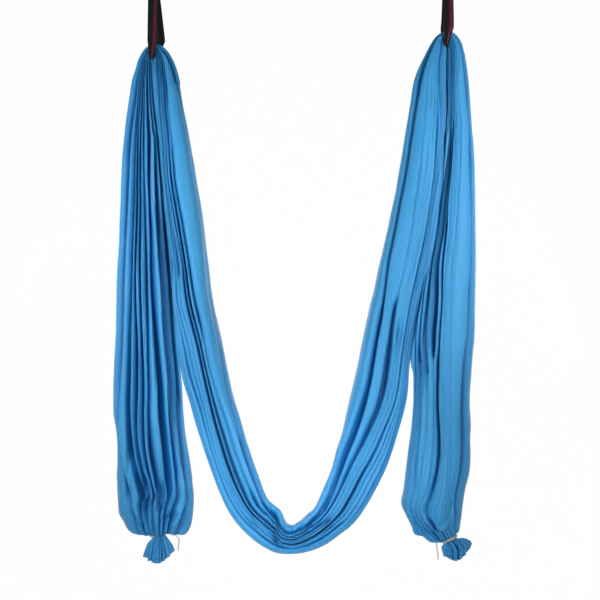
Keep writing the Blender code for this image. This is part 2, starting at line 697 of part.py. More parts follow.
def tail(side, stations, neck):
    """A loose end of the cloth, from the strap down to the neck that its tie holds.

    Its outer shoulder is round about the axis that it swings on, so that it turns clear of the saddle."""
    hang, out, rest = (SIDES[side][k] for k in ("x", "out", "rest"))
    x, z, half_width, half_depth, y = saddle(side)[0]
    radius = TAIL_PIVOT - SEAT_GAP
    made = []
    for i in range(SHOULDER_STEPS + 1):
        reach = half_width * i / SHOULDER_STEPS
        height = z - TAIL_PIVOT + (radius**2 - reach**2) ** 0.5
        middle = x + out * (reach - half_width) / 2
        made.append((middle, height, (half_width + reach) / 2, half_depth, y))
    for drop, outside, inside, deep in stations:
        middle = hang + out * (outside - inside) / 2
        made.append((middle, rest - drop, (outside + inside) / 2, deep, y))
    drop, inside = neck
    made.append((hang - out * inside, rest - drop + NECK, 2 * NECK, 2 * NECK, y))
    made += [(hang - out * inside, rest - drop - step, NECK, NECK, y) for step in (0, NECK_HEIGHT)]
    bundle(f"{side}_tail", made, True)


def tie(side, neck, loose_end):
    """Cord wound round the neck, and its loose end."""
    hang, out, rest = (SIDES[side][k] for k in ("x", "out", "rest"))
    drop, inside = neck
    middle = Vector((hang - out * inside, CLOTH_FRONT, rest - drop - NECK_HEIGHT / 2))
    height = TIE_TURNS * CORD
    inner, outer = NECK + SEAT_GAP, NECK + SEAT_GAP + CORD
    profile = [(inner, height / 2), (outer - TIE_ROUND, height / 2), (outer, height / 2 - TIE_ROUND)]
    profile += [(radius, -z) for radius, z in profile[::-1]]
    turned(f"{side}_tie_wrap", profile, "cord", Matrix.Translation(middle), CLOTH_SIDES)
    sideways, forward, _ = loose_end[0]
    start = Vector((sideways, -forward, 0)).normalized() * (outer + SEAT_GAP)
    route = [middle + start]
    route += [middle + Vector((sideways, -forward, -down)) for sideways, forward, down in loose_end]
    name = f"{side}_tie_end"
    add(name, tube_curve(name, along(route, TIE_END_POINTS), CORD / 2, CORD_SIDES), "cord")


def flare(side, neck, stations):
    """The cloth's end below its tie, spread like a fan."""
    hang, out, rest = (SIDES[side][k] for k in ("x", "out", "rest"))
    drop, inside = neck
    x, z = hang - out * inside, rest - drop - NECK_HEIGHT - SEAT_GAP
    made = [(x, z, NECK, NECK, CLOTH_FRONT)]
    made += [(x + sideways, z - down, wide, deep, CLOTH_FRONT) for down, sideways, wide, deep in stations]
    bundle(f"{side}_end_flare", made, True)


clear_scene()
PARTS = new_collection("aerial_yoga_hammock")
CUTTERS = new_collection("cutters")
CUTTERS.hide_render = True

for side in SIDES:
    anchor_plate(side)
    anchor_screws(side)
    anchor_eye(side)
    carabiner_body(side)
    carabiner_gate(side)
    gate_pins(side)
    gate_spring(side)
    lock_sleeve(side)
    strap(side)
    bar_tack(side, "upper", TACK_A)
    bar_tack(side, "lower", TACK_B)

seat_cloth()
tail("left", LEFT_TAIL, LEFT_NECK)
tail("right", RIGHT_TAIL, RIGHT_NECK)
tie("left", LEFT_NECK, LEFT_TIE_END)
tie("right", RIGHT_NECK, RIGHT_TIE_END)
flare("left", LEFT_NECK, LEFT_FLARE)
flare("right", RIGHT_NECK, RIGHT_FLARE)
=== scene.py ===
"""Looks of the aerial yoga hammock: the gathered nylon cloth, its webbing straps, ties and hardware, on a
pale stage.

Metres, in the frame of the CAD: +Z up, the straps at x = -0.345 and 0.345, and the front towards -Y. Nearly
every size below is one of the solids' own, repeated here, or a place read off the photograph and turned into
metres."""

from math import cos, pi, radians, sin

import bpy
import numpy as np
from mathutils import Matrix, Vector

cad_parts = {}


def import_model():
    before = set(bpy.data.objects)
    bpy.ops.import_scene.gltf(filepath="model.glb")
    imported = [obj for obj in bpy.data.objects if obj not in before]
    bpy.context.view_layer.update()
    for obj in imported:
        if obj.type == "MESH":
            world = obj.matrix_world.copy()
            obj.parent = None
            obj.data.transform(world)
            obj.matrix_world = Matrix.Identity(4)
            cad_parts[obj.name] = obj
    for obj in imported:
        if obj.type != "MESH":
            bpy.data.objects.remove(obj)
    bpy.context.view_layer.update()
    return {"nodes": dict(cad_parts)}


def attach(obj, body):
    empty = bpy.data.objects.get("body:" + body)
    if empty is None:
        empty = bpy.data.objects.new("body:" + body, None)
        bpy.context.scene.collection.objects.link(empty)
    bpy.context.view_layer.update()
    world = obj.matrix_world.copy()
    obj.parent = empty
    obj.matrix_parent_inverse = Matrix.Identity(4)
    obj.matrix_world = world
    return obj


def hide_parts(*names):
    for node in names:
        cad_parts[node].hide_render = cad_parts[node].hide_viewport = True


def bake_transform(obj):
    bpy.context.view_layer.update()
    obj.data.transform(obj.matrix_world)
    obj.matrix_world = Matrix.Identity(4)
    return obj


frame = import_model()

# The photograph's view
VIEW_MIDDLE = Vector((0.002, 0, -0.973))
VIEW_DISTANCE = 3.5
VIEW_WIDTH = 1.41  # of what the frame takes in, at the cloth's middle
SENSOR_WIDTH = 36  # millimetres

# The stage
FLOOR = -1.80
BACKDROP = 1.8  # how far behind the hammock the wall is
STAGE_BEND = 0.8  # radius of the turn from floor to wall
STAGE_REACH, STAGE_STEPS = 7.0, 16
STAGE_GLOW = 0.985  # share of plain white that the camera sees there; the rest is lit and shows the shadow
ROOM_LIGHT = 0.03  # strength of the world's light on the object

# The lamps: name, place, aim, width and height, power in watts and, for those that keep to a cone, its angle
LAMPS = [
    ("left_key", (-1.35, -1.45, -0.86), (-0.34, 0, -0.82), (0.45, 0.6), 3.6, radians(56)),
    ("right_key", (1.35, -1.45, -0.75), (0.32, 0, -0.68), (0.45, 0.6), 3.2, radians(52)),
    ("front_fill", (0.0, -2.6, -1.15), (0.0, 0, -1.46), (0.6, 0.5), 1.35, radians(21)),
    ("back_left", (-1.3, 1.5, -0.6), (-0.15, 0, -0.95), (0.9, 0.9), 9),
    ("back_right", (1.3, 1.5, -0.7), (0.15, 0, -0.95), (0.9, 0.9), 12),
]

# The cloth
CLOTH_WIDTH, CLOTH_LENGTH = 2.8, 5.0  # as it is cut
FLAT_MAP = "flat_cloth"  # each point's place on the flat cloth, in metres
ROW_STEP = 0.0094  # along the run, on the longer of its two edges
FINE_ROWS = 1.9  # times as many rows to a metre where the cloth is crumpled
CRUMPLED_BELOW = -1.37
SHOULDER = 0.0130  # half width of a broad fold's rounded edge
SHOULDER_MEAN = 0.85  # of that, before it drifts
WIDEST_SHOULDER = 0.46  # of a fold's width
ROUNDER = 1.5  # times as deep as it is wide
NARROWEST_GAP, WIDEST_GAP = 0.0008, 0.0065  # between two folds, to each side of the valley's middle
GAP_BIAS = 1.5  # more of it makes more of the valleys narrow
WIDEST_SHARE = 0.24  # of a fold's width that a valley takes on each side
DEEPEST = 0.80  # of the way in to the middle of the gathers
DEPTH_MEAN, FAINTEST = 0.74, 0.10  # of that, for valleys that nothing below sets
FRONT_LIMITS, BACK_LIMITS = (0.004, 0.996), (0.01, 0.99)  # of the width, which the valleys keep within
BACK_VALLEYS, BACK_FIRST, BACK_LAST = 8, 0.07, 0.94
TUCKED = 0.92  # share of a fold's wall that is folded once more, out of sight
TUCK_TURNS = (0.13, 0.26)  # how far aside the turns of that tuck lie, as shares of the fold's width
MOST_ROUND = 0.9  # of a valley's depth, in its rounded edges
FAINT_STEP = 0.3  # of half the gap, from one point to the next at the bottom of a valley without tucks
BESIDE_BOTTOM, FAINT_BESIDE = 0.97, 0.99  # the depth there with tucks and without, as a share of the bottom's
TUCKS_FROM, TUCKS_OVER = 0.15, 0.3  # the strength from which a valley has tucks, and over which they grow
SHOULDER_STEPS, CROWN_STEPS = 5, 4
# How one crown lies deeper than the next, by itself and where the fold is narrow, and how it tilts
SINK, NARROW_SINK, NARROW_FOLD = 0.0060, 0.007, 0.018
TILT, MOST_TILT = 0.16, 0.007
# Crowns differ in full where the gathers' half size is FULL_RELIEF or more, and by LEAST_RELIEF of that where
# they are thin. At the two sides of the oval, from OVAL_END on, they come nearer to one level
FULL_RELIEF, LEAST_RELIEF = 0.050, 0.2
OVAL_END, OVAL_END_OVER, LEVEL_THERE = 0.8, 0.2, 0.85
# What drifts at random along the run: how far to each side, and the distance from one aim to the next
FRONT_DRIFT, BACK_DRIFT = (0.008, 0.11), (0.045, 0.33)
DEPTH_DRIFT, GAP_DRIFT, SHOULDER_DRIFT = (0.50, 0.28), (0.5, 0.2), (0.3, 0.3)
SINK_DRIFT, TILT_DRIFT, LEAN_DRIFT = (1, 0.22), (1, 0.3), (0.30, 0.35)
RIPPLES = ((0.0016, 0.055, 0.16), (0.0008, 0.03, 0.05))  # the height of each kind, its size across and along
RIPPLED_TO = 0.02  # how far down a fold the ripples die away
LEVEL_PASSES = 6  # that bring folds with a faint valley between them to one level
LINE_POINTS = 40  # of a pressed line
LINE_RISE, LINE_END = 4, 0.15  # how fast such a line deepens from its ends, and its share right there
FRONT_RISE = 2.5  # how fast it takes hold from the oval's sides to the front
KEPT_WITHIN = (-0.2, 0.93)  # the share of the way in to the middle, for every point
LEAST_HALF = 0.02  # of the gathers' size, where the ripples are worked out as a share of it
RUN_PLACES, VALLEY_REACH = 3000, 5  # at which the run is measured, and the rows that ease its valleys
TOP_ROWS = -0.45  # the height above which the run goes over a strap
SEED = 11

# Straps and ties
HANG = {"left": -0.345, "right": 0.345}
REST = {"left": -0.4047, "right": -0.3747}  # where the cloth rests in each strap's loop
TIE_MIDDLE = {"left": (-0.331, 0, -1.5217), "right": (0.352, 0, -1.5327)}

# The cloth's colours and its hem, and the painted shade and painted glow down in its folds
CLOTH_BLUE, CLOTH_BLUE_LIGHT = (0.044, 0.310, 0.63), (0.058, 0.352, 0.70)
CLOTH_HEM, CLOTH_THREAD = (0.07, 0.29, 0.58), (0.17, 0.46, 0.78)
FOLD_PAINTED_GLOW = (0.0005, 0.012, 0.034)  # painted glow that stands in for the blue light bounced down to a fold's bottom
FOLD_PAINTED_SHADE = (0.10, 0.30, 0.50)  # painted shade: how much of the cloth's colour is left down in a fold
HEM = 0.012
STITCH, STITCH_SHARE = 0.0035, 0.72  # from one stitch to the next, and the share that shows
STITCH_IN, STITCH_HALF = 0.0015, 0.0007  # how far inside the hem's edge it runs, and its half thickness
DEPTH_MAP = "fold_depth"  # how deep in a fold each point is, which sets the painted shade and glow there, and how loosely its row is gathered, from 0 to 1
DEEP_FOLD = 0.03  # how far down counts as fully deep
EASY_SHARE = 0.74  # a row this wide for its flat width shows its knit and wrinkles in full
TIGHT_EASE = 0.1
TIP_FROM, TIP_OVER = 0.062, 0.006  # where the dark tip starts on a tie's loose end, and over what

# The colours of the webbing, the cord and the thread, pairs from dark to light
WEB_BLACK = (0.0030, 0.0027, 0.0022), (0.010, 0.009, 0.008)
WEB_RED = (0.105, 0.017, 0.027), (0.15, 0.030, 0.042)
WEB_WORN = (0.03, 0.028, 0.026)  # its edges
CORD_BEIGE = (0.40, 0.35, 0.26), (0.66, 0.61, 0.50)
CORD_TIP = (0.07, 0.055, 0.045)
THREAD_RED = (0.16, 0.012, 0.022), (0.30, 0.030, 0.045)
BLACK = (0.0, 0.0, 0.0)

# The colours of the metals, smudged and clean, or plain and in its crystals for the plate
PLATE_ZINC = (0.40, 0.41, 0.42), (0.62, 0.63, 0.64)
BAR_ZINC = (0.36, 0.37, 0.38), (0.58, 0.59, 0.60)
SCREW_STEEL = (0.30, 0.30, 0.31), (0.52, 0.52, 0.53)
POLISHED_STEEL = (0.46, 0.47, 0.48), (0.68, 0.69, 0.70)
SPRING_STEEL = (0.34, 0.34, 0.35), (0.56, 0.56, 0.57)
SLEEVE_STEEL = (0.16, 0.165, 0.175), (0.30, 0.31, 0.33)

# The ceiling anchors
PLATE = (0.090, 0.060, 0.006)
PLATE_CORNER, PLATE_BEVEL, CORNER_STEPS = 0.010, 0.0008, 10
SCREW_SPOTS = [(sx * 0.032, sy * 0.017) for sy in (-1, 1) for sx in (-1, 1)]
SCREW_HOLE = 0.00425
SCREW_SEAT, SCREW_TOP = -0.0063, 0.040
SCREW_RADIUS, SCREW_CORE, SCREW_PITCH = 0.00375, 0.0029, 0.0028
RIDGE_SLOPE, RIDGE_RUN_IN, SCREW_POINT = 3.4, 0.008, 0.010  # the ridge's slope, and where it fades out
HEAD_RADIUS, HEAD_HEIGHT, HEAD_FLAT, HEAD_EDGE, DOME_STEPS = 0.0075, 0.0045, 0.0034, 0.0008, 8
SOCKET, SOCKET_MOUTH, SOCKET_DEPTH, SOCKET_BREAK = 0.0024, 0.0026, 0.0023, 0.0002
SCREW_TURN = {"left": 0.4, "right": 1.7}  # how the first screw happens to be turned
BREAK = 0.0003  # of a machined edge
FIRST_TURN, TURN_STEPS, POINT_BLUNT, POINT_BULGE = 0.0004, 7, 0.0008, 0.8  # of the screws' threaded part
ROD_SIDES, HOLE_SIDES, WELD_SIDES, SCREW_SIDES = 28, 28, 36, 36
EYE_REACH, EYE_MIDDLE = 0.017, -0.027
# The weld's (radius, height), up from the leg to the plate
WELD = ((0.0049, -0.0108), (0.0054, -0.0094), (0.0062, -0.0081), (0.0072, -0.0071), (0.0082, -0.0066),
        (0.0084, SCREW_SEAT))
ROD = 0.005  # radius of the eye's and the carabiner's bar

# The carabiners, each in its own frame: its middle, with the gate at +x
LINK_HEIGHT = -0.0827
LINK_X, LINK_HALF, LINK_CORNER, LINK_STEPS = 0.024, 0.049, 0.016, 12
HINGE, LATCH, NOSE, NOSE_TIP = -0.027, 0.0232, 0.0275, 0.019
SHOULDER_GAP = 0.007
TONGUE, TONGUE_HALF, TONGUE_SUNK = 0.004, 0.0046, 0.002  # its thickness, half width, and how far it goes in
NOTCH_WALL, NOTCH_HALF = 0.0028, 0.002
CHEEK_GAP, HINGE_GAP = 0.0003, 0.0002
END_BREAK, END_SMALLER = 0.0004, 0.0005  # the broken edge at both ends of the body's rod
TIP_BREAK, TIP_CORNER = 0.0008, 0.0012  # of the nose, on its inner and outer side
CHEEK_SUNK, CHEEK_SHORT = 0.0004, 0.0007  # how far a cheek goes into the bar, and stays clear of the shoulder
GATE_SIDES, GATE_STEPS = 32, 6  # round it, and to each turn of its thread
THREAD, THREAD_PITCH, THREAD_RISE = (-0.0070, 0.0172), 0.00125, 0.0004
SLEEVE_RADIUS, SLEEVE_BORE, SLEEVE_LENGTH, SLEEVE_TOP = 0.0075, 0.0053, 0.024, 0.017
SLEEVE_BREAK = 0.0004
GRIPS, GRIP_DEPTH, FLUTES, FLUTE_DEPTH, FLUTE_FOOT = 4, 0.0006, 26, 0.0004, 0.0002

# The straps
WEBBING, WEB_WIDTH, WEB_IN_LINK, WEB_UNDER_CLOTH = 0.002, 0.025, 0.016, 0.010
WEBBING_STEP, WEB_POINTS = 0.0022, 41  # along it, and across one of its faces
SELVEDGE = 0.10  # how much thicker its edges are
STRIPE = (0.0132, 0.0214)  # from the webbing's left edge, on its outer face
RAGGED = 0.0005  # how far the weave moves the stripe's edges
INNER_FACE = 0.1  # added to the map there
BAR, BAR_HEIGHT = 0.0065, -0.1319  # the turn over the carabiner
TACK_A, TACK_B, TACK = -0.1657, -0.2337, 0.008
EASED_FROM, EASED_OVER = 0.008, 0.01  # how far below the bar the line's corners begin to be eased
POCKET_OPEN = 0.006
POCKET_SWELL = ((0.2, 0.75), (0.5, 1.0), (0.8, 0.75))  # share of the way down, and of how far it opens
LOOP_RADIUS = 0.021
TACK_WIDTH, TACK_FACE, TACK_STITCHES, THREAD_RADIUS = 0.018, 0.0024, 38, 0.0004
TACK_ROW = 0.0022  # from one straight stitch to the next
STITCH_BULGE, STITCH_END = 0.0003, 0.0001  # how far a zigzag stitch lies out from the face
STITCH_UNDER = 0.0002  # how far a straight one lies in it
STITCH_STRAY = 0.0002  # of a zigzag's ends, up or down
STITCH_SIDES, UNDER_POINTS = 6, 12
STRAIGHT = (0, 0, 0, 0, 0, 0)
# How each strand lies at some heights: its shift sideways, its twist, and how far its right edge curls back
STRANDS = {
    "left": {
        "heights": (-0.2417, -0.268, -0.330, -0.3624, -0.385, -0.403),
        "front": ((0, 0.0027, 0.0026, 0.0024, 0.0005, 0), (0, -0.05, 0.05, 0.15, 0.1, 0), STRAIGHT),
        "back": ((0, 0.0063, 0.0130, 0.0164, 0.010, 0), (0, 0.1, 0.2, 0.3, 0.2, 0), STRAIGHT),
    },
    "right": {
        "heights": (-0.2417, -0.268, -0.310, -0.339, -0.3577, -0.373),
        "front": ((0, 0.0060, 0.0064, 0.0050, 0.0010, 0), (0, 0.25, 0.35, 0.3, 0.1, 0),
                  (0, 0.9, 1.0, 0.6, 0.2, 0)),
        "back": ((0, 0.0040, 0.0030, 0.0010, 0, 0), (0, -0.1, -0.2, -0.2, -0.1, 0), STRAIGHT),
    },
}

# The ties
CORD = 0.0025
LAY = 0.009  # along the cord, in which its strands turn once round it
STRAND_DIP, STRAND_RISE = 0.86, 0.17  # of its radius: between two strands, and how much more on a strand
TIE_TURNS = 3
TURN_POINTS, LOOSE_POINTS, CORD_SIDES, CORD_STRANDS = 48, 90, 12, 3
TIE_CLEAR, TIE_WAVER, WAVER_PACE = 0.0003, 0.00012, 3.1  # off the cloth, and how evenly it was wound
LAST_PASS, LAST_PASS_OVER = 0.93, 0.07  # the share of the way at which the cord passes over its other turns
LAST_PASS_OUT = 0.9  # of its thickness
HITCH, HITCH_OUT = 0.0019, 0.0016  # radius of the half hitch, and how far out it comes
HITCH_FROM = 0.4  # the angle at which it starts
TIP_TAPER = (0.95, 0.8, 0.45)  # of the cord's radius, at its last points
NECK = 0.018
TIE_TILT = {"left": radians(17), "right": radians(24)}
# The loose end's way from the middle of the wound turns
TIE_END = {
    "left": [(0.030, -0.010, 0), (0.043, -0.012, -0.003), (0.050, -0.012, -0.013), (0.048, -0.011, -0.026),
             (0.047, -0.010, -0.040)],
    "right": [(-0.026, -0.010, -0.001), (-0.029, -0.011, -0.009), (-0.029, -0.011, -0.024),
              (-0.027, -0.011, -0.037), (-0.026, -0.010, -0.049)],
}

# The run of the gathers, from the left end over both straps to the right one. Each row is (upper or outer
# edge's x and z, the other edge's x and z, half depth, sag of the middle along z) and, at some rows, the
# valleys between the front's folds as shares of the way from the first edge to the second
RUN = [
    # left fan, from its cut edge up to the tie
    (-0.368, -1.576, -0.290, -1.562, 0.016, 0.021,
     (0.1, 0.2, 0.3, 0.42, 0.55, 0.67, 0.8, 0.91)),
    (-0.363, -1.561, -0.294, -1.550, 0.017, 0.014),
    (-0.356, -1.543, -0.302, -1.537, 0.018, 0.006),
    (-0.3466, -1.532, -0.3122, -1.522, 0.0176, 0,
     (0.09, 0.2, 0.31, 0.43, 0.55, 0.67, 0.79, 0.91)),
    (-0.3498, -1.522, -0.3154, -1.511, 0.0176, 0),
    # left tail, up from its tie
    (-0.361, -1.522, -0.302, -1.508, 0.026, 0.006),
    (-0.375, -1.524, -0.286, -1.517, 0.033, 0.002,
     (0.1, 0.2, 0.3, 0.41, 0.59, 0.68, 0.79, 0.9)),
    (-0.392, -1.521, -0.270, -1.525, 0.040, -0.014),
    (-0.403, -1.511, -0.259, -1.519, 0.046, -0.033),
    (-0.411, -1.494, -0.251, -1.502, 0.052, -0.036,
     (0.14, 0.22, 0.3, 0.41, 0.58, 0.66, 0.76, 0.885)),
    (-0.421, -1.474, -0.247, -1.475, 0.058, -0.03),
    (-0.424, -1.448, -0.245, -1.443, 0.062, -0.018,
     (0.15, 0.32, 0.386, 0.504, 0.583, 0.753, 0.845, 0.95)),
    (-0.427, -1.401, -0.249, -1.401, 0.064, -0.008),
    (-0.432, -1.321, -0.261, -1.321, 0.062, 0,
     (0.035, 0.18, 0.27, 0.393, 0.505, 0.775, 0.866, 0.95)),
    (-0.438, -1.239, -0.271, -1.239, 0.06, 0),
    (-0.438, -1.173, -0.2745, -1.173, 0.058, 0,
     (0.071, 0.204, 0.326, 0.448, 0.565, 0.744, 0.875, 0.955)),
    (-0.433, -1.058, -0.2855, -1.058, 0.054, 0,
     (0.078, 0.216, 0.334, 0.436, 0.554, 0.723, 0.86, 0.96)),
    (-0.429, -0.912, -0.295, -0.912, 0.051, 0,
     (0.086, 0.24, 0.325, 0.42, 0.556, 0.709, 0.835, 0.95)),
    (-0.422, -0.790, -0.304, -0.790, 0.048, 0,
     (0.087, 0.237, 0.33, 0.41, 0.558, 0.68, 0.87, 0.955)),
    (-0.416, -0.680, -0.314, -0.680, 0.044, 0,
     (0.086, 0.238, 0.32, 0.40, 0.55, 0.69, 0.885, 0.96)),
    (-0.410, -0.590, -0.320, -0.590, 0.04, 0,
     (0.081, 0.244, 0.33, 0.393, 0.543, 0.715, 0.88, 0.955)),
    (-0.399, -0.503, -0.327, -0.503, 0.035, 0,
     (0.11, 0.24, 0.34, 0.44, 0.55, 0.66, 0.77, 0.89)),
    (-0.390, -0.449, -0.333, -0.454, 0.03, 0),
    (-0.384, -0.431, -0.336, -0.433, 0.027, 0),
    (-0.379, -0.411, -0.340, -0.416, 0.0225, 0,
     (0.12, 0.22, 0.32, 0.43, 0.54, 0.65, 0.76, 0.88)),
    # over the left strap
    (-0.370, -0.393, -0.344, -0.4085, 0.02, 0),
    (-0.359, -0.379, -0.349, -0.404, 0.0185, 0),
    (-0.341, -0.371, -0.344, -0.402, 0.018, 0,
     (0.12, 0.23, 0.34, 0.45, 0.56, 0.67, 0.78, 0.89)),
    (-0.323, -0.375, -0.339, -0.403, 0.0185, 0),
    (-0.309, -0.388, -0.346, -0.4085, 0.02, 0),
    (-0.297, -0.407, -0.348, -0.416, 0.0225, 0,
     (0.05, 0.4, 0.5, 0.6, 0.7, 0.79, 0.87, 0.95)),
    # down into the seat
    (-0.286, -0.434, -0.349, -0.435, 0.026, 0),
    (-0.277, -0.468, -0.344, -0.466, 0.03, 0),
    (-0.269, -0.510, -0.340, -0.508, 0.033, 0,
     (0.03, 0.58, 0.68, 0.79, 0.87, 0.92, 0.96, 0.985)),
    (-0.253, -0.590, -0.332, -0.595, 0.037, 0),
    (-0.238, -0.687, -0.325, -0.694, 0.04, 0,
     (0.03, 0.635, 0.745, 0.85, 0.92, 0.95, 0.975, 0.99)),
    (-0.223, -0.781, -0.316, -0.790, 0.042, 0),
    (-0.211, -0.877, -0.307, -0.886, 0.043, 0,
     (0.04, 0.49, 0.585, 0.67, 0.835, 0.91, 0.96, 0.985)),
    (-0.199, -0.973, -0.3015, -0.985, 0.044, 0,
     (0.05, 0.405, 0.527, 0.614, 0.82, 0.90, 0.955, 0.985)),
    (-0.181, -1.058, -0.2895, -1.074, 0.045, 0,
     (0.05, 0.335, 0.44, 0.527, 0.68, 0.81, 0.90, 0.96)),
    (-0.165, -1.133, -0.2785, -1.157, 0.046, 0,
     (0.06, 0.31, 0.41, 0.487, 0.62, 0.75, 0.86, 0.94)),
    (-0.148, -1.206, -0.259, -1.220, 0.047, 0,
     (0.07, 0.29, 0.43, 0.54, 0.65, 0.75, 0.83, 0.93)),
    (-0.128, -1.272, -0.238, -1.293, 0.047, 0,
     (0.08, 0.26, 0.44, 0.565, 0.68, 0.77, 0.85, 0.93)),
    (-0.110, -1.335, -0.214, -1.368, 0.047, 0),
    (-0.091, -1.389, -0.187, -1.436, 0.047, 0,
     (0.09, 0.23, 0.42, 0.56, 0.67, 0.76, 0.85, 0.93)),
    (-0.073, -1.436, -0.155, -1.492, 0.047, 0),
    (-0.055, -1.456, -0.119, -1.530, 0.047, 0,
     (0.1, 0.21, 0.34, 0.45, 0.56, 0.67, 0.79, 0.9)),
    (-0.041, -1.470, -0.086, -1.554, 0.047, 0),
    (-0.030, -1.493, -0.053, -1.567, 0.046, 0,
     (0.16, 0.28, 0.4, 0.5, 0.6, 0.7, 0.81, 0.91)),
    (-0.016, -1.501, -0.020, -1.570, 0.046, 0),
    (0.003, -1.490, 0.017, -1.565, 0.046, 0,
     (0.14, 0.26, 0.38, 0.49, 0.6, 0.71, 0.82, 0.92)),
    (0.020, -1.475, 0.063, -1.547, 0.046, 0),
    (0.035, -1.462, 0.098, -1.522, 0.047, 0,
     (0.12, 0.22, 0.34, 0.46, 0.58, 0.7, 0.81, 0.91)),
    # up to the right strap
    (0.048, -1.436, 0.135, -1.494, 0.047, 0),
    (0.062, -1.401, 0.165, -1.453, 0.047, 0,
     (0.1, 0.24, 0.35, 0.46, 0.58, 0.7, 0.81, 0.91)),
    (0.076, -1.363, 0.190, -1.409, 0.047, 0,
     (0.09, 0.25, 0.36, 0.47, 0.59, 0.7, 0.8, 0.91)),
    (0.086, -1.321, 0.211, -1.366, 0.047, 0),
    (0.097, -1.288, 0.225, -1.326, 0.047, 0,
     (0.15, 0.38, 0.50, 0.61, 0.72, 0.80, 0.87, 0.94)),
    (0.107, -1.251, 0.236, -1.286, 0.046, 0),
    (0.117, -1.208, 0.250, -1.240, 0.046, 0,
     (0.21, 0.52, 0.64, 0.73, 0.81, 0.86, 0.91, 0.96)),
    (0.127, -1.171, 0.258, -1.203, 0.045, 0),
    (0.145, -1.084, 0.264, -1.110, 0.044, 0,
     (0.22, 0.58, 0.69, 0.77, 0.85, 0.89, 0.93, 0.97)),
    (0.172, -0.962, 0.286, -0.988, 0.042, 0,
     (0.17, 0.45, 0.60, 0.72, 0.80, 0.86, 0.91, 0.96)),
    (0.188, -0.879, 0.304, -0.904, 0.041, 0,
     (0.12, 0.50, 0.62, 0.73, 0.84, 0.89, 0.93, 0.97)),
    (0.205, -0.804, 0.321, -0.828, 0.04, 0),
    (0.219, -0.736, 0.331, -0.757, 0.039, 0,
     (0.10, 0.445, 0.60, 0.72, 0.83, 0.88, 0.92, 0.96)),
    (0.233, -0.666, 0.341, -0.684, 0.037, 0),
    (0.244, -0.602, 0.346, -0.619, 0.035, 0,
     (0.09, 0.40, 0.56, 0.68, 0.80, 0.86, 0.93, 0.975)),
    (0.252, -0.553, 0.349, -0.565, 0.033, 0),
    (0.259, -0.506, 0.349, -0.513, 0.031, 0,
     (0.1, 0.40, 0.55, 0.66, 0.76, 0.84, 0.9, 0.96)),
    (0.266, -0.461, 0.348, -0.466, 0.028, 0),
    (0.276, -0.432, 0.346, -0.433, 0.026, 0),
    (0.288, -0.407, 0.347, -0.403, 0.0245, 0,
     (0.1, 0.34, 0.46, 0.57, 0.67, 0.77, 0.86, 0.94)),
    # over the right strap
    (0.298, -0.387, 0.348, -0.388, 0.023, 0),
    (0.309, -0.367, 0.346, -0.3785, 0.021, 0),
    (0.323, -0.350, 0.340, -0.373, 0.0195, 0),
    (0.342, -0.340, 0.344, -0.372, 0.0185, 0,
     (0.12, 0.24, 0.35, 0.46, 0.57, 0.68, 0.79, 0.9)),
    (0.359, -0.341, 0.349, -0.374, 0.019, 0),
    (0.372, -0.350, 0.344, -0.3785, 0.0205, 0),
    (0.382, -0.364, 0.342, -0.388, 0.0225, 0),
    # down the right tail
    (0.389, -0.386, 0.343, -0.401, 0.025, 0,
     (0.1, 0.36, 0.48, 0.59, 0.69, 0.78, 0.87, 0.95)),
    (0.395, -0.416, 0.343, -0.429, 0.028, 0),
    (0.401, -0.463, 0.340, -0.471, 0.031, 0,
     (0.07, 0.5, 0.6, 0.69, 0.77, 0.84, 0.9, 0.96)),
    (0.405, -0.513, 0.340, -0.518, 0.033, 0),
    (0.409, -0.574, 0.339, -0.576, 0.035, 0,
     (0.06, 0.44, 0.64, 0.79, 0.87, 0.92, 0.955, 0.98)),
    (0.413, -0.666, 0.331, -0.668, 0.038, 0),
    (0.415, -0.729, 0.322, -0.734, 0.04, 0,
     (0.07, 0.48, 0.66, 0.80, 0.88, 0.935, 0.965, 0.985)),
    (0.417, -0.821, 0.311, -0.823, 0.042, 0),
    (0.418, -0.875, 0.297, -0.877, 0.044, 0,
     (0.07, 0.49, 0.64, 0.74, 0.86, 0.93, 0.965, 0.985)),
    (0.415, -0.973, 0.278, -0.976, 0.046, 0,
     (0.075, 0.45, 0.56, 0.63, 0.74, 0.87, 0.945, 0.98)),
    (0.411, -1.063, 0.265, -1.065, 0.048, 0,
     (0.08, 0.40, 0.52, 0.62, 0.72, 0.84, 0.93, 0.975)),
    (0.406, -1.129, 0.264, -1.131, 0.05, 0),
    (0.403, -1.204, 0.263, -1.206, 0.052, 0,
     (0.09, 0.35, 0.50, 0.62, 0.68, 0.80, 0.91, 0.965)),
    (0.406, -1.286, 0.257, -1.284, 0.054, 0),
    (0.407, -1.331, 0.250, -1.331, 0.056, 0,
     (0.12, 0.32, 0.44, 0.53, 0.66, 0.80, 0.90, 0.96)),
    (0.403, -1.382, 0.244, -1.378, 0.057, 0),
    (0.394, -1.420, 0.239, -1.420, 0.057, 0,
     (0.15, 0.28, 0.42, 0.58, 0.66, 0.785, 0.88, 0.95)),
    (0.388, -1.455, 0.234, -1.452, 0.056, 0),
    (0.384, -1.481, 0.247, -1.482, 0.052, -0.003,
     (0.1, 0.28, 0.46, 0.66, 0.8, 0.86, 0.91, 0.96)),
    (0.381, -1.497, 0.259, -1.506, 0.047, -0.006),
    (0.379, -1.510, 0.267, -1.524, 0.041, -0.008),
    (0.378, -1.515, 0.285, -1.528, 0.035, -0.007,
     (0.1, 0.22, 0.35, 0.48, 0.61, 0.73, 0.83, 0.92)),
    (0.377, -1.517, 0.305, -1.542, 0.030, 0.002),
    (0.374, -1.517, 0.322, -1.543, 0.025, 0.004),
    (0.3662, -1.5204, 0.3334, -1.5350, 0.0176, 0,
     (0.09, 0.2, 0.31, 0.43, 0.55, 0.67, 0.79, 0.91)),
    (0.3706, -1.5304, 0.3378, -1.5450, 0.0176, 0),
    # the right fan, down to its cut edge
    (0.391, -1.532, 0.334, -1.552, 0.018, 0.003),
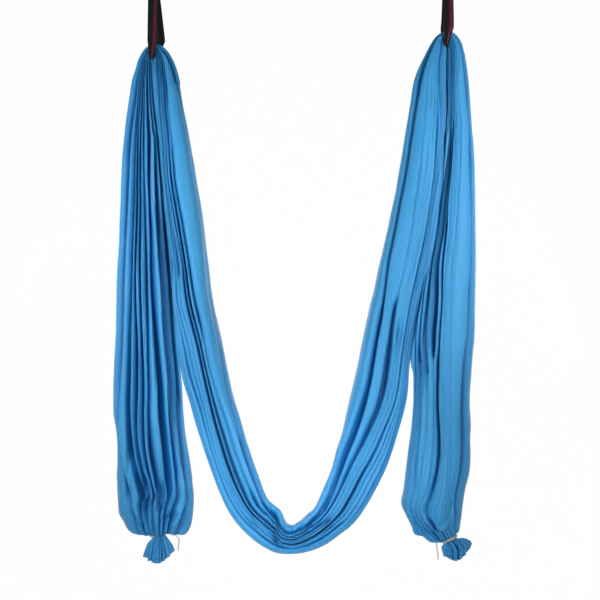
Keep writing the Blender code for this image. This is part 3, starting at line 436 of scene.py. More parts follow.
    (0.407, -1.543, 0.335, -1.561, 0.018, 0.009,
     (0.12, 0.24, 0.36, 0.48, 0.6, 0.72, 0.83, 0.92)),
    (0.403, -1.557, 0.339, -1.575, 0.015, 0.018),
]

# Valleys that are wider, deeper or shallower than the rest: from and to where along the run, which of the
# front's valleys, half its width, and how deep it is as a share of DEEPEST
MARKED = [
    # the left tail
    (0.10, 0.40, 3, 0.0060, 1.0), (0.12, 0.85, 5, 0.0055, 1.0), (0.15, 1.00, 0, 0.0025, 0.7),
    (0.22, 1.08, 1, 0.0036, 1.0), (0.25, 0.78, 2, 0.0030, 0.9), (0.50, 0.95, 3, 0.0010, 0.4),
    (0.28, 1.00, 4, 0.0018, 0.5), (0.18, 1.02, 6, 0.0070, 1.0), (0.18, 1.02, 7, 0.0070, 1.0),
    # the seat's left side
    (1.26, 2.20, 0, 0.0004, 0.06), (1.78, 2.34, 1, 0.0006, 0.08), (1.30, 1.92, 1, 0.0012, 0.28),
    (1.40, 2.34, 2, 0.0016, 0.42), (1.60, 2.36, 3, 0.0045, 1.0), (1.70, 2.46, 4, 0.0004, 0.05),
    (1.78, 2.46, 5, 0.0004, 0.05),
    # the seat, right of its lowest point
    (2.50, 3.04, 2, 0.0004, 0.05), (2.50, 3.02, 3, 0.0004, 0.05), (2.50, 3.04, 5, 0.0004, 0.05),
    (2.52, 3.04, 6, 0.0004, 0.10), (2.54, 3.00, 7, 0.0006, 0.20),
    # the seat's right side
    (2.72, 3.08, 0, 0.0040, 1.0), (3.04, 3.62, 0, 0.0008, 0.25), (2.72, 3.02, 1, 0.0050, 0.6),
    (3.05, 3.60, 1, 0.0006, 0.05), (3.00, 3.60, 2, 0.0004, 0.03), (3.00, 3.58, 3, 0.0004, 0.05),
    (2.74, 2.98, 4, 0.0030, 1.0), (3.14, 3.56, 4, 0.0022, 0.8),
    # the right tail
    (3.95, 4.70, 0, 0.0014, 0.5), (3.90, 4.97, 1, 0.0004, 0.02), (3.90, 4.97, 2, 0.0004, 0.02),
    (3.95, 4.26, 3, 0.0030, 0.5), (4.28, 4.80, 3, 0.0030, 0.9), (3.98, 4.60, 4, 0.0050, 1.0),
    (3.98, 4.50, 5, 0.0060, 1.0), (3.98, 4.50, 6, 0.0010, 0.2), (3.98, 4.50, 7, 0.0010, 0.2),
    (4.48, 4.93, 5, 0.0004, 0.03), (4.48, 4.93, 6, 0.0004, 0.04), (4.48, 4.93, 7, 0.0004, 0.04),
    (4.72, 4.93, 3, 0.0010, 0.3), (4.44, 4.92, 4, 0.0004, 0.05), (4.02, 4.52, 5, 0.0030, 0.6),
    # the seat's last stretch and over the right strap
    (3.54, 3.82, 1, 0.0004, 0.05), (3.54, 3.78, 2, 0.0004, 0.05), (3.52, 3.78, 3, 0.0004, 0.08),
    (3.50, 3.80, 4, 0.0010, 0.3), (3.00, 3.60, 5, 0.0010, 0.3), (3.75, 3.98, 1, 0.0004, 0.04),
    (3.75, 3.98, 2, 0.0004, 0.05), (3.75, 3.98, 3, 0.0006, 0.20),
]
MARK_FADE = 0.07  # over which each one comes and goes

# Where the front's valleys are all shallower: from and to where, the first and last valley, and by how much
CALM = [
    (-0.10, 0.17, 0, 7, 0.42), (4.76, 5.10, 0, 7, 0.50), (3.40, 3.76, 1, 6, 0.30), (3.70, 4.02, 1, 5, 0.30),
    (2.82, 3.18, 2, 6, 0.35), (1.24, 1.50, 1, 3, 0.5), (1.72, 2.44, 6, 7, 0.45), (2.54, 2.90, 1, 4, 0.55),
]

# Where a tail sinks away beside the seat's cloth: a line of (x, z), half its width, how far, and from and to
# where along the run
SUNKEN = [
    (((-0.313, -0.738), (-0.309, -0.856), (-0.305, -0.973), (-0.297, -1.091), (-0.286, -1.208),
      (-0.270, -1.330)), 0.010, 0.024, 0.15, 1.10),
    (((0.3405, -0.621), (0.3311, -0.738), (0.3147, -0.856), (0.3017, -0.973), (0.2865, -1.091),
      (0.2700, -1.208), (0.2583, -1.326)), 0.010, 0.020, 3.80, 4.85),
]

# Folds and hollows of their own, besides the run's folds: a line of (x, z) down the front, half its width,
# and how far the cloth is pressed in there, or stands out where that is negative
PRESSED = [
    # the pockets over the left tie, and the folds that swing in to it
    (((-0.357, -1.382), (-0.356, -1.425), (-0.355, -1.474)), 0.010, 0.020),
    (((-0.317, -1.396), (-0.318, -1.432), (-0.319, -1.467)), 0.008, 0.018),
    (((-0.395, -1.302), (-0.395, -1.373), (-0.396, -1.458)), 0.006, 0.010),
    (((-0.290, -1.406), (-0.301, -1.439), (-0.316, -1.469), (-0.332, -1.483)), 0.008, -0.011),
    (((-0.262, -1.462), (-0.278, -1.483), (-0.301, -1.500), (-0.327, -1.507)), 0.008, -0.011),
    (((-0.285, -1.462), (-0.303, -1.481), (-0.320, -1.488)), 0.006, 0.011),
    (((-0.381, -1.465), (-0.364, -1.483), (-0.339, -1.490)), 0.007, -0.010),
    (((-0.388, -1.483), (-0.367, -1.504), (-0.336, -1.509)), 0.007, -0.010),
    (((-0.383, -1.475), (-0.364, -1.494), (-0.341, -1.500)), 0.005, 0.009),
    (((-0.339, -1.373), (-0.337, -1.443), (-0.333, -1.504)), 0.010, -0.010),
    # the seat's bottom, where its left half dives under a pocket of the right one
    (((-0.065, -1.453), (-0.056, -1.486), (-0.055, -1.516), (-0.045, -1.544),
      (-0.028, -1.556)), 0.005, 0.017),
    (((-0.086, -1.443), (-0.073, -1.490), (-0.061, -1.533)), 0.005, 0.006),
    (((-0.041, -1.476), (-0.043, -1.507), (-0.028, -1.537)), 0.009, -0.011),
    (((-0.017, -1.514), (-0.005, -1.537), (0.012, -1.540)), 0.012, -0.008),
    (((-0.012, -1.500), (-0.014, -1.521)), 0.004, 0.007),
    (((0.004, -1.488), (-0.003, -1.514), (-0.010, -1.530)), 0.005, 0.009),
    (((0.030, -1.467), (0.016, -1.495), (0.004, -1.521)), 0.006, -0.006),
    (((0.073, -1.436), (0.044, -1.479), (0.012, -1.523)), 0.004, 0.007),
    (((0.100, -1.380), (0.091, -1.415), (0.066, -1.469), (0.019, -1.530), (-0.026, -1.549)), 0.007, -0.007),
    (((0.124, -1.345), (0.103, -1.406), (0.077, -1.455), (0.023, -1.523)), 0.004, 0.006),
    (((-0.172, -1.373), (-0.139, -1.443), (-0.097, -1.504), (-0.057, -1.540)), 0.005, 0.006),
    (((-0.139, -1.411), (-0.106, -1.472), (-0.068, -1.523)), 0.006, -0.005),
    # crinkles low on the right tail
    (((0.343, -1.455), (0.357, -1.439), (0.373, -1.429)), 0.004, -0.005),
    (((0.338, -1.462), (0.355, -1.448), (0.373, -1.441)), 0.0035, 0.004),
    (((0.345, -1.483), (0.359, -1.472), (0.376, -1.462)), 0.004, -0.005),
    (((0.326, -1.516), (0.341, -1.500), (0.359, -1.486)), 0.004, -0.005),
    (((0.322, -1.504), (0.336, -1.488), (0.352, -1.476)), 0.0035, 0.004),
    (((0.281, -1.373), (0.281, -1.432), (0.282, -1.474)), 0.006, -0.006),
    (((0.298, -1.472), (0.291, -1.493), (0.282, -1.516)), 0.006, -0.007),
    (((0.261, -1.455), (0.272, -1.483), (0.294, -1.516)), 0.005, 0.008),
    (((0.308, -1.443), (0.310, -1.490), (0.324, -1.528)), 0.005, 0.008),
    (((0.366, -1.373), (0.355, -1.443), (0.352, -1.504)), 0.005, 0.005),
]


def turns(sides):
    """The angles of so many sides round a turn."""
    return np.linspace(0, 2 * pi, sides, endpoint=False)


def summed(steps):
    """The running total of some steps, from 0."""
    return np.concatenate([[0], np.cumsum(steps)])


def smooth_step(share):
    """A share from 0 to 1, made to start and end level."""
    return share * share * (3 - 2 * share)


def drift(length, how, lanes, rng):
    """Smooth random lines, one to a lane, at the places length. how is their reach to each side of 0, and the
    distance from one aim to the next."""
    reach, step = how
    aims = rng.uniform(-1, 1, (int(length[-1] / step) + 3, lanes))
    k = (length / step).astype(int)
    t = smooth_step((length / step - k)[:, None])
    return reach * (aims[k] * (1 - t) + aims[k + 1] * t)


def patches(u, v, u_step, v_step, rng):
    """Smooth random patches from -1 to 1 at the places (u, v), each about u_step by v_step."""
    ku, kv = u / u_step, v / v_step
    aims = rng.uniform(-1, 1, (int(kv.max()) + 3, int(ku.max()) + 3))
    iu, iv = ku.astype(int), kv.astype(int)
    tu, tv = smooth_step(ku - iu), smooth_step(kv - iv)
    low = aims[iv, iu] * (1 - tu) + aims[iv, iu + 1] * tu
    high = aims[iv + 1, iu] * (1 - tu) + aims[iv + 1, iu + 1] * tu
    return low * (1 - tv) + high * tv


def through(places, values, at):
    """A smooth curve through values at places, read at the places at."""
    values = np.asarray(values, float)
    slope = np.gradient(values, places, axis=0)
    k = np.clip(np.searchsorted(places, at, side="right") - 1, 0, len(places) - 2)
    span = (places[k + 1] - places[k])[:, None]
    t = (at[:, None] - places[k][:, None]) / span
    a, b = values[k], values[k + 1]
    rise, fall = slope[k] * span, slope[k + 1] * span
    return a + t * rise + t**2 * (3 * (b - a) - 2 * rise - fall) + t**3 * (2 * (a - b) + rise + fall)


def softened(lines, reach):
    """Each column of lines with its corners taken off, over reach rows to both sides."""
    weights = np.hanning(2 * reach + 3)[1:-1]
    weights /= weights.sum()
    held = np.concatenate([lines[:1].repeat(reach, 0), lines, lines[-1:].repeat(reach, 0)])
    return np.stack([np.convolve(lane, weights, "valid") for lane in held.T], 1)


def run_rows():
    """The run's rows, close together, their length along the cloth, and the valleys of the front's folds."""
    known = np.array([row[:6] for row in RUN])
    steps = np.diff(known, axis=0)
    pace = np.maximum(np.hypot(steps[:, 0], steps[:, 1]), np.hypot(steps[:, 2], steps[:, 3]))
    places = summed(pace)
    fine = np.linspace(0, places[-1], RUN_PLACES)
    low = through(places, known, fine)[:, [1, 3]].min(1) < CRUMPLED_BELOW
    spent = summed(np.diff(fine) * np.where(low[1:], FINE_ROWS, 1))
    at = np.interp(np.linspace(0, spent[-1], int(spent[-1] / ROW_STEP)), spent, fine)
    rows = through(places, known, at)
    middle = (rows[:, 0:2] + rows[:, 2:4]) / 2
    length = summed(np.hypot(*np.diff(middle, axis=0).T))
    told = [(place, row[6]) for place, row in zip(places, RUN) if len(row) > 6]
    valleys = [np.interp(at, [place for place, _ in told], lane) for lane in zip(*(v for _, v in told))]
    return rows, length, softened(np.stack(valleys, 1), VALLEY_REACH)


def fold_points(width, shoulder, core, deep, gap, tuck):
    """One fold's points from valley to valley, as (share of the way across, drop below the crown) for every
    row. deep, gap and tuck are pairs, with the valley before the fold first."""

    def side(deep, gap, tuck):
        """From a valley's bottom, in and out of a hidden tuck, up to where the crown starts. A faint valley
        has no tuck."""
        round_by = np.minimum(ROUNDER * shoulder, MOST_ROUND * deep)
        wide = np.minimum(shoulder / width, 0.5 - gap)
        near, far = TUCK_TURNS
        hidden = ((gap + near, core), (gap + far, core - TUCKED * (core - shoulder)),
                  (FAINT_STEP * gap, BESIDE_BOTTOM * deep))
        across, drop = [0 * gap], [deep]
        for i, (aside, down) in enumerate(hidden):
            across.append((i + 1) * FAINT_STEP * gap * (1 - tuck) + aside * tuck)
            drop.append(FAINT_BESIDE * deep * (1 - tuck) + down * tuck)
        for i in range(SHOULDER_STEPS + 1):
            share = i / SHOULDER_STEPS
            turn = pi / 2 * share
            across.append(gap + wide * ((1 - cos(turn)) * tuck + share * (1 - tuck)))
            drop.append(round_by * ((1 - sin(turn)) * tuck + (0.5 + 0.5 * cos(pi * share)) * (1 - tuck)))
        return across, drop

    (across_a, drop_a), (across_b, drop_b) = (side(*valley) for valley in zip(deep, gap, tuck))
    shares = [i / CROWN_STEPS for i in range(1, CROWN_STEPS)]
    crown = [across_a[-1] * (1 - share) + (1 - across_b[-1]) * share for share in shares]
    across = across_a + crown + [1 - a for a in across_b[::-1]]
    drop = drop_a + [0 * width for _ in crown] + drop_b[::-1]
    return np.stack(across, -1), np.stack(drop, -1)


def between(length, start, end):
    """1 from start to end of the run and 0 elsewhere, with a fade inside both ends."""
    return smooth_step(np.clip(np.minimum(length - start, end - length) / MARK_FADE, 0, 1))


def marked(length, gaps, strength, first):
    """Sets the marked valleys' half widths and depths, and calms others. Valley 0 is in column first."""
    for start, end, valley, half_gap, deep in MARKED:
        share = between(length, start, end)
        column = first + valley
        gaps[:, column] += (half_gap - gaps[:, column]) * share
        strength[:, column] += (deep - strength[:, column]) * share
    for start, end, one, two, factor in CALM:
        share = between(length, start, end)[:, None]
        some = slice(first + one, first + two + 1)
        gaps[:, some] *= 1 - (1 - factor) * share
        strength[:, some] *= 1 - (1 - factor) * share


def press_in(spot, in_front, line, half_width, press):
    """Presses a hollow into the front along a line of (x, z), or lifts a fold where press is negative."""
    step = summed(np.hypot(*np.diff(line, axis=0).T))
    along = through(step, line, np.linspace(0, step[-1], LINE_POINTS))
    low, high = along.min(0) - 2 * half_width, along.max(0) + 2 * half_width
    x, z = spot[..., 0], spot[..., 2]
    near = (x > low[0]) & (x < high[0]) & (z > low[1]) & (z < high[1]) & (in_front > 0)
    gap = np.hypot(x[near][:, None] - along[:, 0], z[near][:, None] - along[:, 1])
    share = gap.argmin(1) / (LINE_POINTS - 1)
    ends = np.clip(LINE_RISE * np.minimum(share, 1 - share) + LINE_END, 0, 1)
    across = np.clip(gap.min(1) / (2 * half_width), 0, 1)
    spot[..., 1][near] += press * ends * (0.5 + 0.5 * np.cos(pi * across)) * in_front[near]


def valley_angles(length, front, rng):
    """Each row's valleys as angles round the oval, from the middle of the back once round to there again, and
    the column of the front's first valley."""
    front = np.clip(front + drift(length, FRONT_DRIFT, front.shape[1], rng), *FRONT_LIMITS)
    back = np.linspace(BACK_FIRST, BACK_LAST, BACK_VALLEYS) + drift(length, BACK_DRIFT, BACK_VALLEYS, rng)
    front_at = np.arccos(1 - 2 * np.sort(front, 1))
    back_at = 2 * pi - np.arccos(1 - 2 * np.sort(np.clip(back, *BACK_LIMITS), 1))[:, ::-1]
    at = np.concatenate([front_at, back_at], 1)
    start = front.shape[1] + BACK_VALLEYS // 2
    around = np.concatenate([at[:, start:], at[:, :start] + 2 * pi, at[:, start : start + 1] + 2 * pi], 1)
    return around, at.shape[1] - start


def gathered_sheet():
    """The whole cloth as a grid: its points, its (u, v) places on the flat cloth, and each point's depth in a
    fold."""
    rng = np.random.default_rng(SEED)
    rows, length, front = run_rows()
    upper, lower, deep, sag = rows[:, 0:2], rows[:, 2:4], rows[:, 4], rows[:, 5]
    middle, half = (upper + lower) / 2, (upper - lower) / 2
    wide = np.hypot(*half.T)
    at, first_front = valley_angles(length, front, rng)
    folds = at.shape[1] - 1

    def reach(angle):
        """How far the oval is from its middle at an angle."""
        one, two = (line.reshape(-1, *[1] * (angle.ndim - 1)) for line in (wide, deep))
        return np.sqrt((one * np.cos(angle)) ** 2 + (two * np.sin(angle)) ** 2)

    def place(angle):
        """The oval's points at an angle, from its middle."""
        flat = half[:, None, :] * np.cos(angle)[..., None]
        return np.stack([flat[..., 0], -deep[:, None] * np.sin(angle), flat[..., 1]], -1)

    def beside(grid):
        """A value of the valleys, at the valley before each fold and at the one after it."""
        return grid[:, :-1], grid[:, 1:]

    a, b = beside(at)
    sixth = [place(a + (b - a) * i / 6) for i in range(7)]
    width = sum(np.linalg.norm(q - p, axis=-1) for p, q in zip(sixth, sixth[1:]))
    strength = np.clip(DEPTH_MEAN + drift(length, DEPTH_DRIFT, folds + 1, rng), FAINTEST, 1)
    open_by = np.clip(0.5 + drift(length, GAP_DRIFT, folds + 1, rng), 0, 1) ** GAP_BIAS
    gaps = NARROWEST_GAP + (WIDEST_GAP - NARROWEST_GAP) * open_by
    marked(length, gaps, strength, first_front)
    core = DEEPEST * reach((a + b) / 2)
    shoulder = SHOULDER * (SHOULDER_MEAN + drift(length, SHOULDER_DRIFT, folds, rng))
    tuck = np.clip((strength - TUCKS_FROM) / TUCKS_OVER, 0, 1)
    across, drop = fold_points(
        width, np.minimum(shoulder, WIDEST_SHOULDER * width), core, beside(DEEPEST * reach(at) * strength),
        [np.clip(gap / width, 0, WIDEST_SHARE) for gap in beside(gaps)], beside(tuck)
    )

    size = np.clip(np.minimum(deep, wide) / FULL_RELIEF, LEAST_RELIEF, 1)[:, None]
    edge = np.maximum(np.abs(np.cos((a + b) / 2)) - OVAL_END, 0) / OVAL_END_OVER
    narrow = np.clip(1 - width / NARROW_FOLD, 0, 1)
    sunk = SINK * (1 + drift(length, SINK_DRIFT, folds, rng)) + NARROW_SINK * narrow
    sunk = sunk * (1 - LEVEL_THERE * edge) * size
    tilt = np.clip(TILT * width, 0, MOST_TILT) * drift(length, TILT_DRIFT, folds, rng) * size
    lean = drift(length, LEAN_DRIFT, folds, rng)
    tuck_a, tuck_b = beside(tuck)
    tilt, lean = (way * tuck_a * tuck_b for way in (tilt, lean))
    faint = 1 - tuck
    for _ in range(LEVEL_PASSES):
        step = faint[:, 1:-1] * (sunk[:, 1:] - sunk[:, :-1]) / 3
        sunk[:, :-1] += step
        sunk[:, 1:] -= step
    bottom = np.zeros(across.shape[-1])
    bottom[[0, -1]] = 1
    raised = sunk[..., None] + 2 * tilt[..., None] * (across - 0.5)
    drop = drop + raised * (1 - bottom)
    drop[..., 0] += sunk * faint[:, :-1]
    drop[..., -1] += sunk * faint[:, 1:]
    angle = a[..., None] + (b - a)[..., None] * across
    share_in = np.clip(drop / reach(angle), *KEPT_WITHIN)
    angle = angle + lean[..., None] * share_in * (1 - bottom)

    def in_one_row(grid):
        """A value of each fold's points as one row round the oval, without the points two folds share."""
        body = grid[:, :, :-1].reshape(len(grid), -1)
        return np.concatenate([body, grid[:, -1:, -1].reshape(len(grid), -1)], 1)

    grids = raised * (1 - bottom), angle, share_in, drop
    level, angle, share_in, drop = (in_one_row(grid) for grid in grids)
    u = np.broadcast_to(np.linspace(0, CLOTH_WIDTH, angle.shape[1]), angle.shape)
    v = np.broadcast_to((length * CLOTH_LENGTH / length[-1])[:, None], angle.shape)
    shown = np.clip(1 - drop / RIPPLED_TO, 0, 1)
    ripple = sum(height * patches(u, v, across_it, along_it, rng) for height, across_it, along_it in RIPPLES)
    share_in = share_in + ripple * shown * size / np.maximum(np.minimum(deep, wide)[:, None], LEAST_HALF)
    spot = place(angle) * (1 - share_in)[..., None]
    spot[..., 0] += middle[:, 0:1]
    spot[..., 2] += middle[:, 1:2] - sag[:, None] * np.sin(angle) ** 2
    in_front = np.clip(FRONT_RISE * np.sin(angle), 0, 1)
    for line, half_width, press in PRESSED:
        press_in(spot, in_front, np.array(line), half_width, press)
    for line, half_width, press, first, last in SUNKEN:
        some = slice(*np.searchsorted(length, (first, last)))
        press_in(spot[some], in_front[some], np.array(line), half_width, press)
    return spot, np.stack([u, v], -1), drop - 0.5 * level


def strip(name, spots, flat, depth, first, last):
    """The rows from first to last of the sheet, as an object."""
    spots, flat, depth = (grid[first : last + 1] for grid in (spots, flat, depth))
    tall, wide = spots.shape[:2]
    index = np.arange(tall * wide).reshape(tall, wide)
    quads = np.stack([index[:-1, :-1], index[1:, :-1], index[1:, 1:], index[:-1, 1:]], -1).reshape(-1, 4)
    data = bpy.data.meshes.new(name)
    data.from_pydata(spots.reshape(-1, 3).tolist(), [], quads.tolist())
    data.shade_smooth()
    layer = data.uv_layers.new(name=FLAT_MAP)
    layer.data.foreach_set("uv", flat.reshape(-1, 2)[quads.reshape(-1)].astype(np.float32).ravel())
    across = np.linalg.norm(np.diff(spots, axis=1), axis=-1).sum(1) / (flat[:, -1, 0] - flat[:, 0, 0])
    ease = np.repeat(np.clip(across / EASY_SHARE, TIGHT_EASE, 1)[:, None], wide, 1)
    sunk = np.stack([np.clip(depth / DEEP_FOLD, 0, 1), ease], -1)
    layer = data.uv_layers.new(name=DEPTH_MAP)
    layer.data.foreach_set("uv", sunk.reshape(-1, 2)[quads.reshape(-1)].astype(np.float32).ravel())
    return collection_link(bpy.data.objects.new(name, data))


def collection_link(made):
    bpy.context.collection.objects.link(made)
    return made


class Net:
    """A node tree and short ways to add to it."""

    def __init__(self, tree):
        self.tree = tree

    def node(self, kind, **settings):
        made = self.tree.nodes.new(kind)
        for key, value in settings.items():
            setattr(made, key, value)
        return made

    def feed(self, value, socket):
        if hasattr(value, "is_linked"):
            self.tree.links.new(value, socket)
        elif isinstance(value, tuple):
            socket.default_value = (*value, 1) if len(value) == 3 and socket.type == "RGBA" else value
        else:
            socket.default_value = value

    def math(self, operation, *values):
        made = self.node("ShaderNodeMath", operation=operation)
        for value, socket in zip(values, made.inputs):
            self.feed(value, socket)
        return made.outputs[0]

    def fitted(self, value, low, high, to_low=0.0, to_high=1.0, smooth=False):
        """value from low to high, turned into a value from to_low to to_high and held there."""
        made = self.node("ShaderNodeMapRange", interpolation_type="SMOOTHSTEP" if smooth else "LINEAR")
        for given, socket in zip((value, low, high, to_low, to_high), made.inputs):
            self.feed(given, socket)
        return made.outputs[0]

    def noise(self, place, scale, detail, roughness=0.55):
        made = self.node("ShaderNodeTexNoise")
        self.feed(place, made.inputs["Vector"])
        self.feed(scale, made.inputs["Scale"])
        made.inputs["Detail"].default_value = detail
        made.inputs["Roughness"].default_value = roughness
        return made.outputs[0]

    def cells(self, place, scale, feature="F1"):
        """The outputs of a pattern of uneven cells."""
        made = self.node("ShaderNodeTexVoronoi", feature=feature)
        self.feed(place, made.inputs["Vector"])
        made.inputs["Scale"].default_value = scale
        return made.outputs

    def joined(self, x, y):
        """A place from its two parts."""
        made = self.node("ShaderNodeCombineXYZ")
        self.feed(x, made.inputs[0])
        self.feed(y, made.inputs[1])
        return made.outputs[0]

    def stretched(self, place, x, y, z):
        made = self.node("ShaderNodeVectorMath", operation="MULTIPLY")
        self.feed(place, made.inputs[0])
        made.inputs[1].default_value = (x, y, z)
        return made.outputs[0]

    def parts(self, place):
        made = self.node("ShaderNodeSeparateXYZ")
        self.feed(place, made.inputs[0])
        return made.outputs

    def mixed(self, mask, one, two, blend="MIX"):
        """A colour that turns from one to two as mask rises."""
        made = self.node("ShaderNodeMix", data_type="RGBA", blend_type=blend)
        for value, socket in ((mask, made.inputs[0]), (one, made.inputs[6]), (two, made.inputs[7])):
            self.feed(value, socket)
        return made.outputs[2]

    def mixed_shader(self, mask, one, two):
        """A shader that turns from one to two as mask rises."""
        made = self.node("ShaderNodeMixShader")
        for value, socket in zip((mask, one, two), made.inputs):
            self.feed(value, socket)
        return made.outputs["Shader"]

    def effect(self, tree, **given):
        """A shared effect's outputs. An underscore in the name of an input stands for a space."""
        made = self.node("ShaderNodeGroup", node_tree=tree)
        for name, value in given.items():
            self.feed(value, made.inputs[name.replace("_", " ")])
        return made.outputs


class Look(Net):
    """A material, with its Principled shader."""

    def __init__(self, name, roughness, metallic=0.0, **settings):
        self.material = bpy.data.materials.new(name)
        self.material.use_nodes = True
        super().__init__(self.material.node_tree)
        self.shader = self.tree.nodes["Principled BSDF"]
        self.shader.inputs["Roughness"].default_value = roughness
        self.shader.inputs["Metallic"].default_value = metallic
        for socket, value in settings.items():
            self.feed(value, self.shader.inputs[socket.replace("_", " ")])

    def shown(self, socket, value):
        self.feed(value, self.shader.inputs[socket])

    def bump(self, height, distance, strength=1.0):
        made = self.node("ShaderNodeBump")
        made.inputs["Distance"].default_value = distance
        made.inputs["Strength"].default_value = strength
        self.feed(height, made.inputs["Height"])
        self.feed(made.outputs["Normal"], self.shader.inputs["Normal"])

    def on_map(self, name):
        return self.node("ShaderNodeUVMap", uv_map=name).outputs["UV"]

    def on_piece(self):
        return self.node("ShaderNodeTexCoord").outputs["Object"]


def shared_effect(name, inputs, outputs):
    """An effect's empty group: its net, its given inputs and its outputs to fill."""
    tree = bpy.data.node_groups.new(name, "ShaderNodeTree")
    for label, kind, value in inputs:
        socket = tree.interface.new_socket(label, in_out="INPUT", socket_type=kind)
        if value is not None:
            socket.default_value = value
    for label in outputs:
        tree.interface.new_socket(label, in_out="OUTPUT", socket_type="NodeSocketFloat")
    net = Net(tree)
    return net, net.node("NodeGroupInput").outputs, net.node("NodeGroupOutput").inputs


def threads_effect():
    """Rows of slanting stitches, like knit or herringbone webbing: their height from 0 to 1."""
    net, given, out = shared_effect("threads", [
        ("Place", "NodeSocketVector", None), ("Across", "NodeSocketFloat", 0.001),
        ("Along", "NodeSocketFloat", 0.001), ("Slant", "NodeSocketFloat", 1.0),
    ], ["Height"])
    u, v, _ = net.parts(given["Place"])
    ridge = net.math("PINGPONG", net.math("DIVIDE", u, given["Across"]), 0.5)
    lean = net.math("MULTIPLY_ADD", ridge, given["Slant"], net.math("DIVIDE", v, given["Along"]))
    wave = net.math("SINE", net.math("MULTIPLY", lean, 2 * pi))
    column = net.math("SINE", net.math("MULTIPLY", ridge, 2 * pi))
    net.feed(net.math("MULTIPLY_ADD", wave, 0.25, net.math("MULTIPLY_ADD", column, 0.5, 0.25)), out["Height"])
    return net.tree


def handled_effect():
    """What handling leaves on metal: cloudy smudges and fine scratches, each from 0 to 1."""
    net, given, out = shared_effect("handled_metal", [
        ("Place", "NodeSocketVector", None), ("Size", "NodeSocketFloat", 0.01),
    ], ["Smudge", "Scratch"])
    scale = net.math("DIVIDE", 1.0, given["Size"])
    cloud = net.noise(given["Place"], scale, 4.0, 0.6)
    net.feed(net.fitted(cloud, 0.35, 0.7, smooth=True), out["Smudge"])
    fine = net.noise(net.stretched(given["Place"], 6.0, 1.0, 9.0), net.math("MULTIPLY", scale, 2.2), 5.0, 0.7)
    net.feed(net.fitted(fine, 0.55, 0.75), out["Scratch"])
    return net.tree


def streaks_effect():
    """Long soft streaks down gathered cloth, from 0 to 1."""
    net, given, out = shared_effect("streaks", [
        ("Place", "NodeSocketVector", None), ("Width", "NodeSocketFloat", 0.01),
        ("Length", "NodeSocketFloat", 0.1),
    ], ["Height"])
    u, v, _ = net.parts(given["Place"])
    place = net.joined(net.math("DIVIDE", u, given["Width"]), net.math("DIVIDE", v, given["Length"]))
    net.feed(net.noise(place, 1.0, 3.0, 0.5), out["Height"])
    return net.tree


def creases_effect():
    """Sharp little creases that cross each other at a slant, like those of cloth that was kept folded, from 0
    to 1."""
    net, given, out = shared_effect("creases", [
        ("Place", "NodeSocketVector", None), ("Size", "NodeSocketFloat", 0.1),
        ("Width", "NodeSocketFloat", 0.05),
    ], ["Height"])
    u, v, _ = net.parts(given["Place"])
    one_way = net.math("MULTIPLY_ADD", v, 0.55, u)
    other_way = net.math("MULTIPLY_ADD", u, -0.35, net.math("MULTIPLY", v, 0.6))
    place = net.joined(*(net.math("DIVIDE", way, given["Size"]) for way in (one_way, other_way)))
    ridge = net.fitted(net.cells(place, 1.0, "DISTANCE_TO_EDGE")["Distance"], 0.0, given["Width"], 1.0, 0.0,
                       smooth=True)
    there = net.fitted(net.noise(place, 0.7, 1.0, 0.5), 0.42, 0.62, smooth=True)
    net.feed(net.math("MULTIPLY", ridge, there), out["Height"])
    return net.tree


THREADS, HANDLED, STREAKS, CREASES = threads_effect(), handled_effect(), streaks_effect(), creases_effect()


